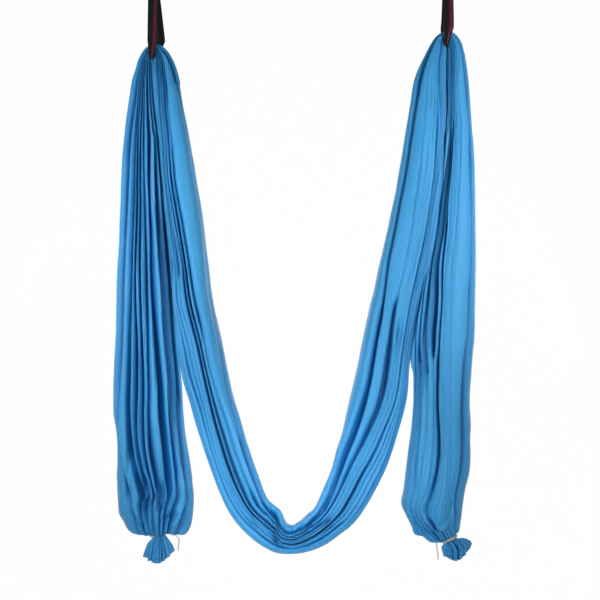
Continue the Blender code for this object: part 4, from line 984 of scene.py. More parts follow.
def cloth_look():
    """Blue nylon tricot: a fine knit with a satin sheen and stitched hems, with painted shade that turns it
    navy down in its folds and a faint painted glow of bounced light there.
    """
    look = Look("blue_nylon", 0.40, Sheen_Weight=0.05, Sheen_Roughness=0.4, Specular_IOR_Level=0.24,
                Sheen_Tint=(0.50, 0.78, 1.0), Specular_Tint=(0.75, 0.92, 1.0))
    place = look.on_map(FLAT_MAP)
    u, v, _ = look.parts(place)
    deep, ease, _ = look.parts(look.on_map(DEPTH_MAP))
    cloud = look.effect(STREAKS, Place=place, Width=0.25, Length=0.35)["Height"]
    blue = look.mixed(look.fitted(cloud, 0.35, 0.65), CLOTH_BLUE, CLOTH_BLUE_LIGHT)
    edge = look.math("MINIMUM", look.math("MINIMUM", u, look.math("SUBTRACT", CLOTH_WIDTH, u)),
                     look.math("MINIMUM", v, look.math("SUBTRACT", CLOTH_LENGTH, v)))
    hem = look.math("LESS_THAN", edge, HEM)
    dash = look.math("FRACT", look.math("DIVIDE", look.math("ADD", u, v), STITCH))
    dash = look.math("LESS_THAN", dash, STITCH_SHARE)
    line = look.math("ABSOLUTE", look.math("SUBTRACT", edge, HEM - STITCH_IN))
    stitch = look.math("MULTIPLY", dash, look.math("LESS_THAN", line, STITCH_HALF))
    blue = look.mixed(look.math("MULTIPLY", hem, 0.35), blue, CLOTH_HEM)
    blue = look.mixed(look.math("MULTIPLY", stitch, 0.6), blue, CLOTH_THREAD)
    # Painted shade darkens the colour down in the folds, and a faint painted glow there stands in for bounced
    # light
    painted_shade = look.fitted(deep, 0.03, 0.42, smooth=True)
    look.shown("Base Color", look.mixed(painted_shade, blue, look.mixed(1.0, blue, FOLD_PAINTED_SHADE, "MULTIPLY")))
    look.shown("Emission Color", look.mixed(look.fitted(deep, 0.10, 0.75, smooth=True), BLACK, FOLD_PAINTED_GLOW))
    look.shown("Emission Strength", 1.0)
    look.shown("Roughness", look.fitted(cloud, 0.3, 0.7, 0.36, 0.46))
    knit = look.effect(THREADS, Place=place, Across=0.0016, Along=0.0012, Slant=0.8)["Height"]
    wrinkle = look.effect(STREAKS, Place=place, Width=0.011, Length=0.12)["Height"]
    fine = look.effect(STREAKS, Place=place, Width=0.018, Length=0.030)["Height"]
    crease = look.effect(CREASES, Place=place, Size=0.10, Width=0.055)["Height"]
    height = look.math("MULTIPLY", fine, 0.16)
    for relief, share in ((wrinkle, 0.26), (knit, 0.035), (crease, 0.22), (stitch, 0.12), (hem, 0.10)):
        height = look.math("MULTIPLY_ADD", relief, share, height)
    look.bump(look.math("MULTIPLY", height, ease), 0.0030)
    return look.material


def webbing_look():
    """Black polyester webbing with a dark red stripe, its edges a little worn and dusty, and painted shade
    low in its weave.
    """
    look = Look("daisy_webbing", 0.72, Specular_IOR_Level=0.3, Sheen_Weight=0.04, Sheen_Roughness=0.5)
    place = look.on_map(FLAT_MAP)
    u, v, _ = look.parts(place)
    middle, half = (STRIPE[0] + STRIPE[1]) / 2, (STRIPE[1] - STRIPE[0]) / 2
    ragged = look.effect(THREADS, Place=place, Across=0.0012, Along=0.0016, Slant=1.0)["Height"]
    aside = look.math("ABSOLUTE", look.math("SUBTRACT", u, middle))
    aside = look.math("MULTIPLY_ADD", ragged, RAGGED, aside)
    red = look.math("LESS_THAN", aside, half + RAGGED / 2)
    weave = look.effect(THREADS, Place=place, Across=0.0032, Along=0.0016, Slant=2.0)["Height"]
    dust = look.effect(STREAKS, Place=place, Width=0.006, Length=0.02)["Height"]
    black = look.mixed(look.fitted(dust, 0.5, 0.8), *WEB_BLACK)
    stripe = look.mixed(look.fitted(dust, 0.4, 0.8), *WEB_RED)
    both = look.mixed(red, black, stripe)
    fuzz = look.math("LESS_THAN", look.math("PINGPONG", u, WEB_WIDTH / 2), 0.0006)
    both = look.mixed(look.math("MULTIPLY", fuzz, 0.4), both, WEB_WORN)
    # The colour low in the weave is darkened towards black: painted shade between the threads
    look.shown("Base Color", look.mixed(look.fitted(weave, 0.1, 0.9), look.mixed(0.45, both, BLACK), both))
    look.bump(weave, 0.00035)
    return look.material


def cord_look():
    """Natural twisted cord, darker over the last stretch of its loose end."""
    look = Look("beige_cord", 0.85, Sheen_Weight=0.2, Sheen_Roughness=0.5)
    place = look.on_piece()
    shade = look.noise(place, 220.0, 4.0, 0.7)
    beige = look.mixed(look.fitted(shade, 0.3, 0.7), *CORD_BEIGE)
    along = look.parts(look.on_map(FLAT_MAP))[1]
    tip = look.fitted(along, TIP_FROM, TIP_FROM + TIP_OVER, smooth=True)
    look.shown("Base Color", look.mixed(look.math("MULTIPLY", tip, 0.85), beige, CORD_TIP))
    look.bump(look.noise(place, 900.0, 3.0, 0.8), 0.0004)
    return look.material


def thread_look():
    """Waxed polyester thread."""
    look = Look("red_thread", 0.45, Sheen_Weight=0.2)
    shade = look.noise(look.on_piece(), 900.0, 2.0)
    look.shown("Base Color", look.mixed(look.fitted(shade, 0.3, 0.7), *THREAD_RED))
    look.bump(shade, 0.0001)
    return look.material


def metal_look(name, tones, smooth_at, dull_at, size, scratches):
    """A metal that handling has made cloudy and lightly scratched. tones are its smudged and its clean
    colour, and size is about that of one smudge."""
    look = Look(name, smooth_at, 1.0)
    smudged, clean = tones
    found = look.effect(HANDLED, Place=look.on_piece(), Size=size)
    look.shown("Base Color", look.mixed(found["Smudge"], clean, smudged))
    scratched = look.math("MULTIPLY_ADD", found["Scratch"], 0.10, smooth_at)
    look.shown("Roughness", look.math("MULTIPLY_ADD", found["Smudge"], dull_at - smooth_at, scratched))
    look.bump(found["Scratch"], scratches, 0.6)
    return look.material


def rolled_look(name, tones):
    """Zinc on rolled plate: a fine grain, and paler crystals in it."""
    look = Look(name, 0.42, 1.0)
    place = look.on_piece()
    shade = look.parts(look.cells(place, 150.0)["Color"])[0]
    found = look.effect(HANDLED, Place=place, Size=0.02)
    look.shown("Base Color", look.mixed(look.math("MULTIPLY", shade, 0.7), *tones))
    smudged = look.math("MULTIPLY_ADD", found["Smudge"], 0.14, 0.30)
    look.shown("Roughness", look.math("MULTIPLY_ADD", shade, 0.10, smudged))
    look.bump(look.math("MULTIPLY_ADD", shade, 0.3, found["Scratch"]), 0.00008, 0.6)
    return look.material


def grid_faces(rows, columns, ring):
    """Faces of a grid of points that closes round its columns, and round its rows too where it is a ring."""
    faces = []
    for i in range(rows if ring else rows - 1):
        a, b = i * columns, (i + 1) % rows * columns
        faces += [(a + j, a + (j + 1) % columns, b + (j + 1) % columns, b + j) for j in range(columns)]
    return faces


def shell(spots, ring=False):
    """A closed shell from a grid of points. Its columns run round it, and its rows along it."""
    spots = np.asarray(spots)
    rows, columns = spots.shape[:2]
    faces = grid_faces(rows, columns, ring)
    if not ring:
        faces += [tuple(range(columns))[::-1], tuple(range((rows - 1) * columns, rows * columns))]
    return spots.reshape(-1, 3), faces


def rod_along(line, radius, sides, across=(0, 1, 0), strands=0):
    """A round bar or cord along a line. A laid cord shows its strands, which turn round it once a lay."""
    line = np.asarray(line, float)
    ahead = np.roll(line, -1, 0) - np.roll(line, 1, 0)
    ahead[0], ahead[-1] = line[1] - line[0], line[-1] - line[-2]
    ahead /= np.linalg.norm(ahead, axis=1)[:, None]
    one, aside = [], np.array(across, float)
    for way in ahead:
        aside = aside - way * aside.dot(way)
        aside /= np.linalg.norm(aside)
        one.append(aside)
    one = np.array(one)
    two = np.cross(ahead, one)
    turn = turns(sides)
    reach = np.broadcast_to(np.asarray(radius, float), len(line))[:, None] * np.ones(sides)
    if strands:
        gone = summed(np.linalg.norm(np.diff(line, axis=0), axis=1))
        crest = np.abs(np.cos(strands / 2 * (turn - 2 * pi * gone[:, None] / LAY)))
        reach = reach * (STRAND_DIP + STRAND_RISE * crest)
    out = np.cos(turn)[:, None] * one[:, None] + np.sin(turn)[:, None] * two[:, None]
    return shell(line[:, None] + reach[..., None] * out)


def turned_shell(profile, sides, centre=(0, 0), ring=False):
    """A shell turned about an upright axis. Its (radius, height) pairs run up its outer side, and a radius
    may be a row of its own, one value to each side."""
    turn = turns(sides)
    rows = []
    for radius, height in profile:
        reach = np.broadcast_to(radius, sides)
        rows.append(np.stack([
            centre[0] + reach * np.cos(turn), centre[1] + reach * np.sin(turn), np.broadcast_to(height, sides)
        ], -1))
    return shell(rows, ring)


def hexagon(flat, sides):
    """The reach of a hexagon of that half width across its flats, at each side of a turned shell."""
    return flat / np.cos(turns(sides) % (pi / 3) - pi / 6)


def prism(outline, low, high, bevel=0.0):
    """An upright prism over an outline of (x, y), with its ends drawn in by bevel."""
    outline = np.asarray(outline, float)
    middle = outline.mean(0)
    size = np.abs(outline - middle).max()
    rows = []
    ends = [(low, bevel), (low + bevel, 0), (high - bevel, 0), (high, bevel)]
    for height, inset in ends if bevel else [(low, 0), (high, 0)]:
        drawn = middle + (outline - middle) * (1 - inset / size)
        rows.append(np.concatenate([drawn, np.full((len(drawn), 1), height)], 1))
    return shell(rows)


def thread_ramp(height, pitch, sides):
    """How far each side is from one ridge of a thread to the next at a height, from 0 to 1."""
    return (height / pitch - turns(sides) / (2 * pi)) % 1


def moved(one, turn=None, shift=(0, 0, 0)):
    """A shell turned by a 3 by 3 matrix and then shifted."""
    spots, faces = one
    if turn is not None:
        spots = spots @ np.array(turn, float).T
    return spots + np.array(shift), faces


def piece(name, shells, look, slot, body, *nodes, sharp=32, maps=None):
    """A piece made of closed shells, which rides on a body and is shown in place of the solids named."""
    spots, faces = [], []
    for some, theirs in shells:
        start = len(spots)
        spots += some.tolist()
        faces += [tuple(i + start for i in f) for f in theirs]
    data = bpy.data.meshes.new(name)
    data.from_pydata(spots, [], faces)
    data.shade_smooth()
    data.set_sharp_from_angle(angle=radians(sharp))
    if maps is not None:
        layer = data.uv_layers.new(name=FLAT_MAP)
        layer.data.foreach_set("uv", np.asarray(maps, np.float32).ravel())
    data.materials.append(look)
    made = collection_link(bpy.data.objects.new(name, data))
    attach(made, body)
    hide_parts(*nodes)
    return made


def ring_map(along, round_it, ring=False):
    """The map of a shell from a grid, in metres: round it by along it, for each corner of its faces."""
    rows, columns = len(along), len(round_it)
    faces = []
    for i in range(rows - 1):
        for j in range(columns - 1):
            faces += [(round_it[j], along[i]), (round_it[j + 1], along[i]),
                      (round_it[j + 1], along[i + 1]), (round_it[j], along[i + 1])]
    if not ring:
        faces += [(0, along[0])] * (columns - 1) + [(0, along[-1])] * (columns - 1)
    return faces


def anchor_plate(side):
    """The ceiling plate, its edges broken, with a hole for each screw."""
    corners = [(1, 1, 0), (-1, 1, 90), (-1, -1, 180), (1, -1, 270)]
    outline = []
    for sx, sy, start in corners:
        for i in range(CORNER_STEPS + 1):
            turn = radians(start + 90 * i / CORNER_STEPS)
            outline.append((sx * (PLATE[0] / 2 - PLATE_CORNER) + PLATE_CORNER * cos(turn),
                            sy * (PLATE[1] / 2 - PLATE_CORNER) + PLATE_CORNER * sin(turn)))
    around = turns(HOLE_SIDES)
    holes = [[(x + SCREW_HOLE * cos(a), y + SCREW_HOLE * sin(a)) for a in around] for x, y in SCREW_SPOTS]
    line = bpy.data.curves.new("plate", "CURVE")
    line.dimensions = "2D"
    line.fill_mode = "BOTH"
    line.extrude = PLATE[2] / 2 - PLATE_BEVEL
    line.bevel_depth = PLATE_BEVEL
    line.bevel_resolution = 2
    line.offset = -PLATE_BEVEL
    for edge in (outline, *holes):
        spline = line.splines.new("POLY")
        spline.points.add(len(edge) - 1)
        spline.use_cyclic_u = True
        for point, (x, y) in zip(spline.points, edge):
            point.co = (x, y, 0, 1)
    drawn = collection_link(bpy.data.objects.new("plate", line))
    data = bpy.data.meshes.new_from_object(drawn.evaluated_get(bpy.context.evaluated_depsgraph_get()))
    spots = np.array([v.co[:] for v in data.vertices]) + (HANG[side], 0, -PLATE[2] / 2)
    faces = [tuple(p.vertices) for p in data.polygons]
    bpy.data.objects.remove(drawn)
    piece(f"{side}_ceiling_plate", [(spots, faces)], LOOKS["plate"], "anchor_steel", "ceiling",
          f"{side}_anchor_plate")


def anchor_eye(side):
    """The bent rod under the plate, with the weld round the top of each leg."""
    line = [(0, EYE_REACH, SCREW_SEAT)]
    line += [(0, EYE_REACH * cos(a), EYE_MIDDLE - EYE_REACH * sin(a)) for a in np.linspace(0, pi, 33)]
    line += [(0, -EYE_REACH, SCREW_SEAT)]
    shells = [rod_along(line, ROD, ROD_SIDES, across=(1, 0, 0))]
    around = turns(WELD_SIDES)
    uneven = 1 + 0.035 * np.cos(9 * around) + 0.02 * np.cos(4 * around + 1)
    for y in (-EYE_REACH, EYE_REACH):
        shells.append(turned_shell([(r * uneven, z) for r, z in WELD], len(around), (0, y)))
    shells = [moved(s, shift=(HANG[side], 0, 0)) for s in shells]
    piece(f"{side}_welded_eye", shells, LOOKS["zinc"], "anchor_steel", "ceiling", f"{side}_anchor_eye")


def screw_profile(sides):
    """A button-head screw as (radius, height), from its socket's floor round the head and up the thread."""
    low = SCREW_SEAT - HEAD_HEIGHT
    rows = [(hexagon(SOCKET, sides), low + SOCKET_DEPTH), (hexagon(SOCKET, sides), low + SOCKET_BREAK),
            (hexagon(SOCKET_MOUTH, sides), low)]
    for i in range(DOME_STEPS + 1):
        turn = pi / 2 * i / DOME_STEPS
        rows.append((HEAD_FLAT + (HEAD_RADIUS - HEAD_FLAT) * sin(turn),
                     SCREW_SEAT - HEAD_EDGE - (HEAD_HEIGHT - HEAD_EDGE) * cos(turn)))
    rows += [(HEAD_RADIUS, SCREW_SEAT - BREAK), (HEAD_RADIUS - BREAK, SCREW_SEAT), (SCREW_CORE, SCREW_SEAT)]
    for height in np.arange(SCREW_SEAT + FIRST_TURN, SCREW_TOP, SCREW_PITCH / TURN_STEPS):
        ridge = np.clip(1 - RIDGE_SLOPE * np.abs(thread_ramp(height, SCREW_PITCH, sides) - 0.5), 0, 1)
        ridge = ridge * min((height - SCREW_SEAT) / RIDGE_RUN_IN, 1)
        point = min((SCREW_TOP + POINT_BLUNT - height) / SCREW_POINT, 1) ** POINT_BULGE
        rows.append(((SCREW_CORE + (SCREW_RADIUS - SCREW_CORE) * ridge) * point, height))
    return rows


def anchor_screws(side):
    """Button-head screws with a hexagon socket, and their thread up in the ceiling."""
    profile = screw_profile(SCREW_SIDES)
    for i, (x, y) in enumerate(SCREW_SPOTS):
        turn = 0.9 * i + SCREW_TURN[side]
        spin = ((cos(turn), -sin(turn), 0), (sin(turn), cos(turn), 0), (0, 0, 1))
        shells = [moved(turned_shell(profile, SCREW_SIDES), spin, (HANG[side] + x, y, 0))]
        piece(f"{side}_ceiling_screw_{i + 1}", shells, LOOKS["screw"], "screw_steel", "ceiling",
              f"{side}_anchor_screw_{i + 1}")


def link_frame(side, shells):
    """Shells from the carabiner's own frame, whose gate is at +x, moved to where it hangs."""
    flip = ((-1, 0, 0), (0, -1, 0), (0, 0, 1)) if side == "right" else None
    return [moved(s, flip, (HANG[side], 0, LINK_HEIGHT)) for s in shells]


def flat_tongue(outline):
    """A flat tongue from an outline of (x, z), thinner than the rod."""
    spots, faces = prism(outline, -TONGUE / 2, TONGUE / 2)
    return spots[:, [0, 2, 1]], [f[::-1] for f in faces]


def carabiner_body(side):
    """The C of the carabiner, with its hinge tongue and its notched nose."""
    foot = HINGE - SHOULDER_GAP
    line = [(LINK_X, 0, foot), (LINK_X, 0, foot - END_BREAK)]
    cx, cz = LINK_X - LINK_CORNER, LINK_HALF - LINK_CORNER
    for sx, sz, start in ((1, -1, 0), (-1, -1, -90), (-1, 1, -180), (1, 1, -270)):
        for i in range(LINK_STEPS + 1):
            turn = radians(start - 90 * i / LINK_STEPS)
            line.append((sx * cx + LINK_CORNER * cos(turn), 0, sz * cz + LINK_CORNER * sin(turn)))
    line += [(LINK_X, 0, NOSE + END_BREAK), (LINK_X, 0, NOSE)]
    radius = np.full(len(line), ROD)
    radius[[0, -1]] = ROD - END_SMALLER
    left, right = LINK_X - TONGUE_HALF, LINK_X + TONGUE_HALF
    hinge = [(right, foot - TONGUE_SUNK)]
    hinge += [(LINK_X + TONGUE_HALF * cos(a), HINGE + TONGUE_HALF * sin(a)) for a in np.linspace(0, pi, 17)]
    hinge += [(left, foot - TONGUE_SUNK)]
    open_to = LINK_X + ROD - NOTCH_WALL
    nose = [(right, NOSE + TONGUE_SUNK), (left, NOSE + TONGUE_SUNK), (left, LATCH + NOTCH_HALF),
            (open_to, LATCH + NOTCH_HALF), (open_to, LATCH - NOTCH_HALF), (left, LATCH - NOTCH_HALF),
            (left, NOSE_TIP + TIP_BREAK), (left + TIP_BREAK, NOSE_TIP), (right - TIP_CORNER, NOSE_TIP),
            (right, NOSE_TIP + TIP_CORNER)]
    shells = [rod_along(line, radius, ROD_SIDES), flat_tongue(hinge), flat_tongue(nose)]
    piece(f"{side}_oval_carabiner", link_frame(side, shells), LOOKS["carabiner"], "carabiner_steel",
          f"{side}_carabiner", f"{side}_carabiner_body")


def carabiner_gate(side):
    """The gate: two cheeks round the hinge tongue, the threaded bar, and two cheeks round the nose."""
    low, high = HINGE + ROD + HINGE_GAP, NOSE_TIP - CHEEK_GAP
    rows = [(ROD - BREAK, low), (ROD, low + BREAK)]
    for height in np.arange(THREAD[0], THREAD[1], THREAD_PITCH / GATE_STEPS):
        ramp = thread_ramp(height, THREAD_PITCH, GATE_SIDES)
        rows.append((ROD - BREAK + THREAD_RISE * (1 - np.abs(2 * ramp - 1)), height))
    rows += [(ROD, high - BREAK), (ROD - BREAK, high)]
    shells = [turned_shell(rows, GATE_SIDES, (LINK_X, 0))]
    start = np.arcsin((TONGUE / 2 + CHEEK_GAP) / ROD)
    for face in (1, -1):
        around = np.linspace(start, pi - start, 15)[::face]
        arc = [(LINK_X + ROD * cos(a), face * ROD * sin(a)) for a in around]
        shells.append(prism(arc, HINGE - ROD, low + CHEEK_SUNK, BREAK))
        shells.append(prism(arc, high - CHEEK_SUNK, NOSE - CHEEK_SHORT, BREAK))
    piece(f"{side}_sprung_gate", link_frame(side, shells), LOOKS["carabiner"], "carabiner_steel",
          f"{side}_gate", f"{side}_carabiner_gate")


def lock_sleeve(side):
    """The screw sleeve: four fluted bands with plain grooves between them."""
    sides = 4 * FLUTES
    fluted = SLEEVE_RADIUS - FLUTE_DEPTH * (0.5 - 0.5 * np.cos(FLUTES * turns(sides)))
    groove = SLEEVE_RADIUS - GRIP_DEPTH
    band = SLEEVE_LENGTH / (2 * GRIPS + 1)
    rows = [(SLEEVE_BORE + SLEEVE_BREAK, 0), (groove - SLEEVE_BREAK, 0), (groove, SLEEVE_BREAK)]
    for i in range(1, 2 * GRIPS, 2):
        low, high = band * i, band * (i + 1)
        rows += [(groove, low - FLUTE_FOOT), (fluted - BREAK, low), (fluted, low + SLEEVE_BREAK),
                 (fluted, high - SLEEVE_BREAK), (fluted - BREAK, high), (groove, high + FLUTE_FOOT)]
    rows += [(groove, SLEEVE_LENGTH - SLEEVE_BREAK), (groove - SLEEVE_BREAK, SLEEVE_LENGTH),
             (SLEEVE_BORE + SLEEVE_BREAK, SLEEVE_LENGTH), (SLEEVE_BORE, SLEEVE_LENGTH - SLEEVE_BREAK),
             (SLEEVE_BORE, SLEEVE_BREAK)]
    made = moved(turned_shell(rows, sides, ring=True), shift=(LINK_X, 0, SLEEVE_TOP - SLEEVE_LENGTH))
    piece(f"{side}_screw_sleeve", link_frame(side, [made]), LOOKS["sleeve"], "sleeve", f"{side}_sleeve",
          f"{side}_lock_sleeve")


def strap_line(side):
    """The middle of the webbing's thickness all the way round its loop, as (y, z), front strand first."""
    half, turn = WEBBING / 2, REST[side] + LOOP_RADIUS
    around = LOOP_RADIUS + half
    line = [(BAR * cos(a), BAR_HEIGHT + BAR * sin(a)) for a in np.linspace(pi / 2, pi, 9)]
    line += [(-half, TACK_A), (-half, TACK_A - TACK)]
    line += [(-half - POCKET_OPEN * swell, TACK_A - TACK - (TACK_A - TACK - TACK_B) * share)
             for share, swell in POCKET_SWELL]
    line += [(-half, TACK_B), (-half, TACK_B - TACK)]
    line += [(around * cos(a), turn + around * sin(a)) for a in np.linspace(pi, 1.5 * pi, 9)]
    line = np.array(line)
    line = np.concatenate([line, line[-2:0:-1] * (-1, 1)])
    gone = summed(np.hypot(*(np.roll(line, -1, 0) - line).T))
    at = np.linspace(0, gone[-1], int(gone[-1] / WEBBING_STEP), endpoint=False)
    held = np.concatenate([line, line[:1]])
    even = np.stack([np.interp(at, gone, held[:, k]) for k in (0, 1)], 1)
    weights = np.hanning(11)[1:-1] / np.hanning(11).sum()
    eased = sum(w * np.roll(even, k, 0) for k, w in zip(range(-4, 5), weights))
    share = np.clip((BAR_HEIGHT - EASED_FROM - even[:, 1]) / EASED_OVER, 0, 1)[:, None]
    return even * (1 - share) + eased * share


def webbing_sections(chord, level, twist, curl):
    """The webbing's section at each of its rows, as (across, outwards) all the way round it. It is folded
    lengthwise to its chord, with its right edge curled back, and then twisted. level is 0 where the middle of
    its folds lies on the strap's line, and 1 where their innermost points do."""
    q = np.linspace(-1, 1, WEB_POINTS)
    half_edge = WEBBING / 2 * (1 - np.abs(q) ** 10) ** 0.5
    half_edge = half_edge * (1 + SELVEDGE * np.clip((np.abs(q) - 0.8) / 0.15, 0, 1))
    bunched = np.sqrt(8 * (1 - np.sqrt(chord / WEB_WIDTH)))
    lean = bunched[:, None] * np.sin(7 * q + 1) - curl[:, None] * np.clip((q - 0.25) / 0.6, 0, 1) ** 1.5
    step = WEB_WIDTH / 2 * (q[1] - q[0])
    across, out = np.cumsum(np.cos(lean), 1) * step, np.cumsum(np.sin(lean), 1) * step
    middle = WEB_POINTS // 2
    across -= across[:, middle : middle + 1]
    out -= (out.min(1) * level + out.mean(1) * (1 - level))[:, None]
    across, out = (across * np.cos(twist)[:, None] - out * np.sin(twist)[:, None],
                   across * np.sin(twist)[:, None] + out * np.cos(twist)[:, None])
    slope_a, slope_o = np.gradient(across, axis=1), np.gradient(out, axis=1)
    size = np.hypot(slope_a, slope_o)
    face_a, face_o = -slope_o / size, slope_a / size
    outer = np.stack([across + face_a * half_edge, out + face_o * half_edge], -1)[:, ::-1]
    inner = np.stack([across - face_a * half_edge, out - face_o * half_edge], -1)[:, 1:-1]
    return np.concatenate([outer, inner], 1)


def webbing_loop(side):
    """The daisy-chain webbing. It folds lengthwise where it is bunched, and its two strands fan out as they
    go round the cloth."""
    line = strap_line(side)
    y, z = line.T
    ahead = np.roll(line, -1, 0) - np.roll(line, 1, 0)
    ahead /= np.hypot(*ahead.T)[:, None]
    in_link = np.clip((z - TACK_A - TACK) / (BAR_HEIGHT + BAR - TACK_A - 2 * TACK), 0, 1)
    under = np.clip((REST[side] + 2 * LOOP_RADIUS - z) / (2 * LOOP_RADIUS), 0, 1)
    chord = WEB_WIDTH - (WEB_WIDTH - WEB_IN_LINK) * in_link - (WEB_WIDTH - WEB_UNDER_CLOTH) * under
    places = np.array(STRANDS[side]["heights"])[::-1]
    front, back = (
        [np.interp(z, places, np.array(values)[::-1]) for values in STRANDS[side][strand]]
        for strand in ("front", "back")
    )
    shift, twist, curl = (np.where(y < 0, *both) for both in zip(front, back))
    section = webbing_sections(chord, np.clip(in_link + 0.5, 0, 1), twist, curl)
    spots = np.stack([
        HANG[side] + shift[:, None] + section[..., 0],
        y[:, None] + section[..., 1] * ahead[:, 1:2],
        z[:, None] - section[..., 1] * ahead[:, 0:1],
    ], -1)
    metres = (np.linspace(-1, 1, WEB_POINTS) + 1) * WEB_WIDTH / 2
    round_it = np.concatenate([metres[::-1], INNER_FACE + metres[1:]])
    run = np.arange(len(line) + 1) * WEBBING_STEP
    piece(f"{side}_daisy_chain", [shell(spots, ring=True)], LOOKS["webbing"], "webbing", "hammock",
          f"{side}_strap", sharp=60, maps=ring_map(run, round_it, ring=True))


def bar_tack(side, which, top):
    """Dense zigzag stitching on both faces of the webbing, over a few straight stitches."""
    middle = top - TACK / 2
    shells = []
    rng = np.random.default_rng(SEED + 1)
    for face in (-1, 1):
        line = []
        for i in range(TACK_STITCHES + 1):
            x = TACK_WIDTH * (i / TACK_STITCHES - 0.5)
            z = (1 if i % 2 else -1) * (TACK / 2 - THREAD_RADIUS + rng.uniform(-STITCH_STRAY, STITCH_STRAY))
            if line:
                gone = line[-1]
                bulge = face * (TACK_FACE + STITCH_BULGE)
                line += [(gone[0] * (1 - s) + x * s, bulge, gone[2] * (1 - s) + z * s)
                         for s in (0.25, 0.5, 0.75)]
            line.append((x, face * (TACK_FACE + STITCH_END), z))
        shells.append(rod_along(line, THREAD_RADIUS, STITCH_SIDES))
        for z in (-TACK_ROW, 0, TACK_ROW):
            places = np.linspace(-TACK_WIDTH / 2, TACK_WIDTH / 2, UNDER_POINTS)
            under = [(x, face * (TACK_FACE - STITCH_UNDER), z) for x in places]
            shells.append(rod_along(under, THREAD_RADIUS, STITCH_SIDES))
    shells = [moved(s, shift=(HANG[side], 0, middle)) for s in shells]
    piece(f"{side}_{which}_bar_tack", shells, LOOKS["thread"], "thread", "hammock",
          f"{side}_bar_tack_{which}", sharp=80)


def tie(side):
    """The cord: three turns round the neck, a half hitch, and the loose end that hangs from it."""
    middle, tilt = np.array(TIE_MIDDLE[side]), TIE_TILT[side]
    one, two, up = (np.array(v) for v in ((cos(tilt), 0, sin(tilt)), (0, 1, 0), (-sin(tilt), 0, cos(tilt))))
    route = np.array(TIE_END[side])
    leave = np.arctan2(route[0][1], route[0][0])
    turn = np.linspace(leave - 2 * pi * TIE_TURNS, leave, TURN_POINTS * TIE_TURNS + 1)
    share = np.linspace(0, 1, len(turn))
    over = smooth_step(np.clip((share - LAST_PASS) / LAST_PASS_OVER, 0, 1))
    reach = NECK + TIE_CLEAR + CORD / 2 + TIE_WAVER * np.sin(WAVER_PACE * turn) + over * LAST_PASS_OUT * CORD
    climb = CORD * (TIE_TURNS - 1) * (share - 0.5) * (1 - over)
    around = np.cos(turn)[:, None] * one + np.sin(turn)[:, None] * two
    wound = middle + reach[:, None] * around + climb[:, None] * up
    out = np.cos(leave) * one + np.sin(leave) * two
    round_it = np.cross(up, out)
    hitch = [
        wound[-1] + HITCH * (np.sin(a) * round_it + (1 - np.cos(a)) * up) + HITCH_OUT * a / (2 * pi) * out
        for a in np.linspace(HITCH_FROM, 2 * pi, 16)
    ]
    wound = np.concatenate([wound, hitch])
    shells = [rod_along(wound, CORD / 2, CORD_SIDES, across=(0, 0, 1), strands=CORD_STRANDS)]
    piece(f"{side}_wound_tie", shells, LOOKS["cord"], "cord", f"{side}_tail", f"{side}_tie_wrap", sharp=80)
    loose = np.concatenate([[hitch[-1]], middle + route])
    gone = summed(np.linalg.norm(np.diff(loose, axis=0), axis=1))
    line = through(gone, loose, np.linspace(0, gone[-1], LOOSE_POINTS))
    radius = np.full(len(line), CORD / 2)
    radius[-3:] = CORD / 2 * np.array(TIP_TAPER)
    length = float(np.linalg.norm(np.diff(line, axis=0), axis=1).sum())
    run = np.linspace(0, length, len(line))
    shells = [rod_along(line, radius, CORD_SIDES, across=(0, 0, 1), strands=CORD_STRANDS)]
    made = piece(f"{side}_loose_tie", shells, LOOKS["cord"], "cord", f"{side}_tail", f"{side}_tie_end",
                 sharp=80, maps=ring_map(run, np.linspace(0, pi * CORD, CORD_SIDES + 1)))


def stage():
    """A pale floor that turns up into a wall, white with the hammock's shadow on it, and clear from behind
    and below."""
    profile = [(-STAGE_REACH, FLOOR)]
    for i in range(STAGE_STEPS + 1):
        turn = pi / 2 * i / STAGE_STEPS
        profile.append((BACKDROP - STAGE_BEND + STAGE_BEND * sin(turn), FLOOR + STAGE_BEND * (1 - cos(turn))))
    profile.append((BACKDROP, STAGE_REACH))
    spots = [(x, y, z) for x in (-STAGE_REACH, STAGE_REACH) for y, z in profile]
    count = len(profile)
    faces = [(i, count + i, count + i + 1, i + 1) for i in range(count - 1)]
    data = bpy.data.meshes.new("pale_stage")
    data.from_pydata(spots, [], faces)
    data.shade_smooth()
    data.materials.append(stage_look())
    made = collection_link(bpy.data.objects.new("pale_stage", data))


def stage_look():
    """White to the camera and in metal, with a trace of the lamps' light and the hammock's shadow, and clear
    from behind."""
    look = Look("stage_white", 0.9, Specular_IOR_Level=0.1, Base_Color=(0.92, 0.92, 0.92))
    glow = look.node("ShaderNodeEmission")
    look.feed(1.0, glow.inputs["Strength"])
    path = look.node("ShaderNodeLightPath").outputs
    seen = look.math("MAXIMUM", path["Is Camera Ray"], path["Is Glossy Ray"])
    white = look.mixed_shader(look.math("MULTIPLY", seen, STAGE_GLOW), look.shader.outputs["BSDF"],
                              glow.outputs["Emission"])
    clear = look.node("ShaderNodeBsdfTransparent").outputs["BSDF"]
    behind = look.node("ShaderNodeNewGeometry").outputs["Backfacing"]
    output = next(n for n in look.tree.nodes if n.type == "OUTPUT_MATERIAL")
    look.feed(look.mixed_shader(behind, white, clear), output.inputs["Surface"])
    return look.material


def world():
    """White where the camera sees it, and a faint cool light for the rest."""
    made = bpy.data.worlds.new("soft_room")
    made.use_nodes = True
    bpy.context.scene.world = made
    net = Net(made.node_tree)
    shine = net.tree.nodes["Background"]
    net.feed((0.95, 0.97, 1.0), shine.inputs["Color"])
    path = net.node("ShaderNodeLightPath").outputs
    net.feed(net.fitted(path["Is Camera Ray"], 0.0, 1.0, ROOM_LIGHT, 1.0), shine.inputs["Strength"])


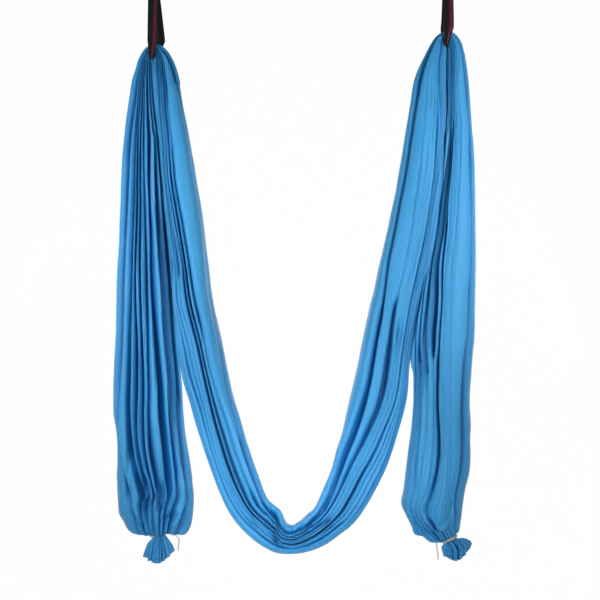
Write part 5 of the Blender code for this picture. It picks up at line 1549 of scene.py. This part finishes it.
def softbox(name, place, aim, size, power, spread=pi):
    """A rectangular lamp, size wide and high, that points at aim."""
    light = bpy.data.lights.new(name, "AREA")
    light.shape = "RECTANGLE"
    light.size, light.size_y = size
    light.energy = power
    light.spread = spread
    made = collection_link(bpy.data.objects.new(name, light))
    made.location = place
    made.rotation_euler = (Vector(aim) - Vector(place)).to_track_quat("-Z", "Y").to_euler()


def camera():
    """The photograph's view, level and straight from the front."""
    lens = bpy.data.cameras.new("view")
    lens.sensor_width = SENSOR_WIDTH
    lens.lens = SENSOR_WIDTH * VIEW_DISTANCE / VIEW_WIDTH
    made = collection_link(bpy.data.objects.new("view", lens))
    made.location = VIEW_MIDDLE - Vector((0, VIEW_DISTANCE, 0))
    made.rotation_euler = (pi / 2, 0, 0)
    bpy.context.scene.camera = made


camera()
stage()
world()
for lamp in LAMPS:
    softbox(*lamp)
bpy.context.scene.view_settings.view_transform = "Standard"

LOOKS = {
    "cloth": cloth_look(),
    "webbing": webbing_look(),
    "cord": cord_look(),
    "thread": thread_look(),
    "plate": rolled_look("zinc_plate", PLATE_ZINC),
    "zinc": metal_look("zinc_bar", BAR_ZINC, 0.30, 0.45, 0.009, 0.00004),
    "screw": metal_look("screw_steel", SCREW_STEEL, 0.28, 0.42, 0.006, 0.00008),
    "carabiner": metal_look("polished_steel", POLISHED_STEEL, 0.20, 0.32, 0.014, 0.00002),
    "spring": metal_look("spring_steel", SPRING_STEEL, 0.25, 0.36, 0.004, 0.00005),
    "sleeve": metal_look("sleeve_steel", SLEEVE_STEEL, 0.30, 0.42, 0.008, 0.00004),
}

for side in HANG:
    tie(side)

spots, flat, depth = gathered_sheet()
near_top = spots[..., 2].mean(1) > TOP_ROWS
across = spots[..., 0].mean(1)
left_top = int(np.argmax(near_top & (across > HANG["left"])))
right_top = int(np.argmax(near_top & (across > HANG["right"])))
last = len(spots) - 1
for name, first, end, strap, nodes in (
    ("left_tail_cloth", 0, left_top, "left_strap", ("left_tail", "left_end_flare")),
    ("seat_of_cloth", left_top, right_top, "right_strap", ("seat_cloth",)),
    ("right_tail_cloth", right_top, last, "right_strap", ("right_tail", "right_end_flare")),
):
    made = strip(name, spots, flat, depth, first, end)
    made.data.materials.append(LOOKS["cloth"])
    if name == "seat_of_cloth":
        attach(made, "hammock")
    elif name == "left_tail_cloth":
        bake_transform(made)
    else:
        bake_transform(made)
    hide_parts(*nodes)

for side in HANG:
    anchor_plate(side)
    anchor_eye(side)
    anchor_screws(side)
    carabiner_body(side)
    carabiner_gate(side)
    lock_sleeve(side)
    webbing_loop(side)
    bar_tack(side, "upper", TACK_A)
    bar_tack(side, "lower", TACK_B)

for name, node in frame["nodes"].items():
    if not node.hide_render:
        node.data.materials.clear()
        node.data.materials.append(LOOKS["spring" if "spring" in name or "plunger" in name else "carabiner"])
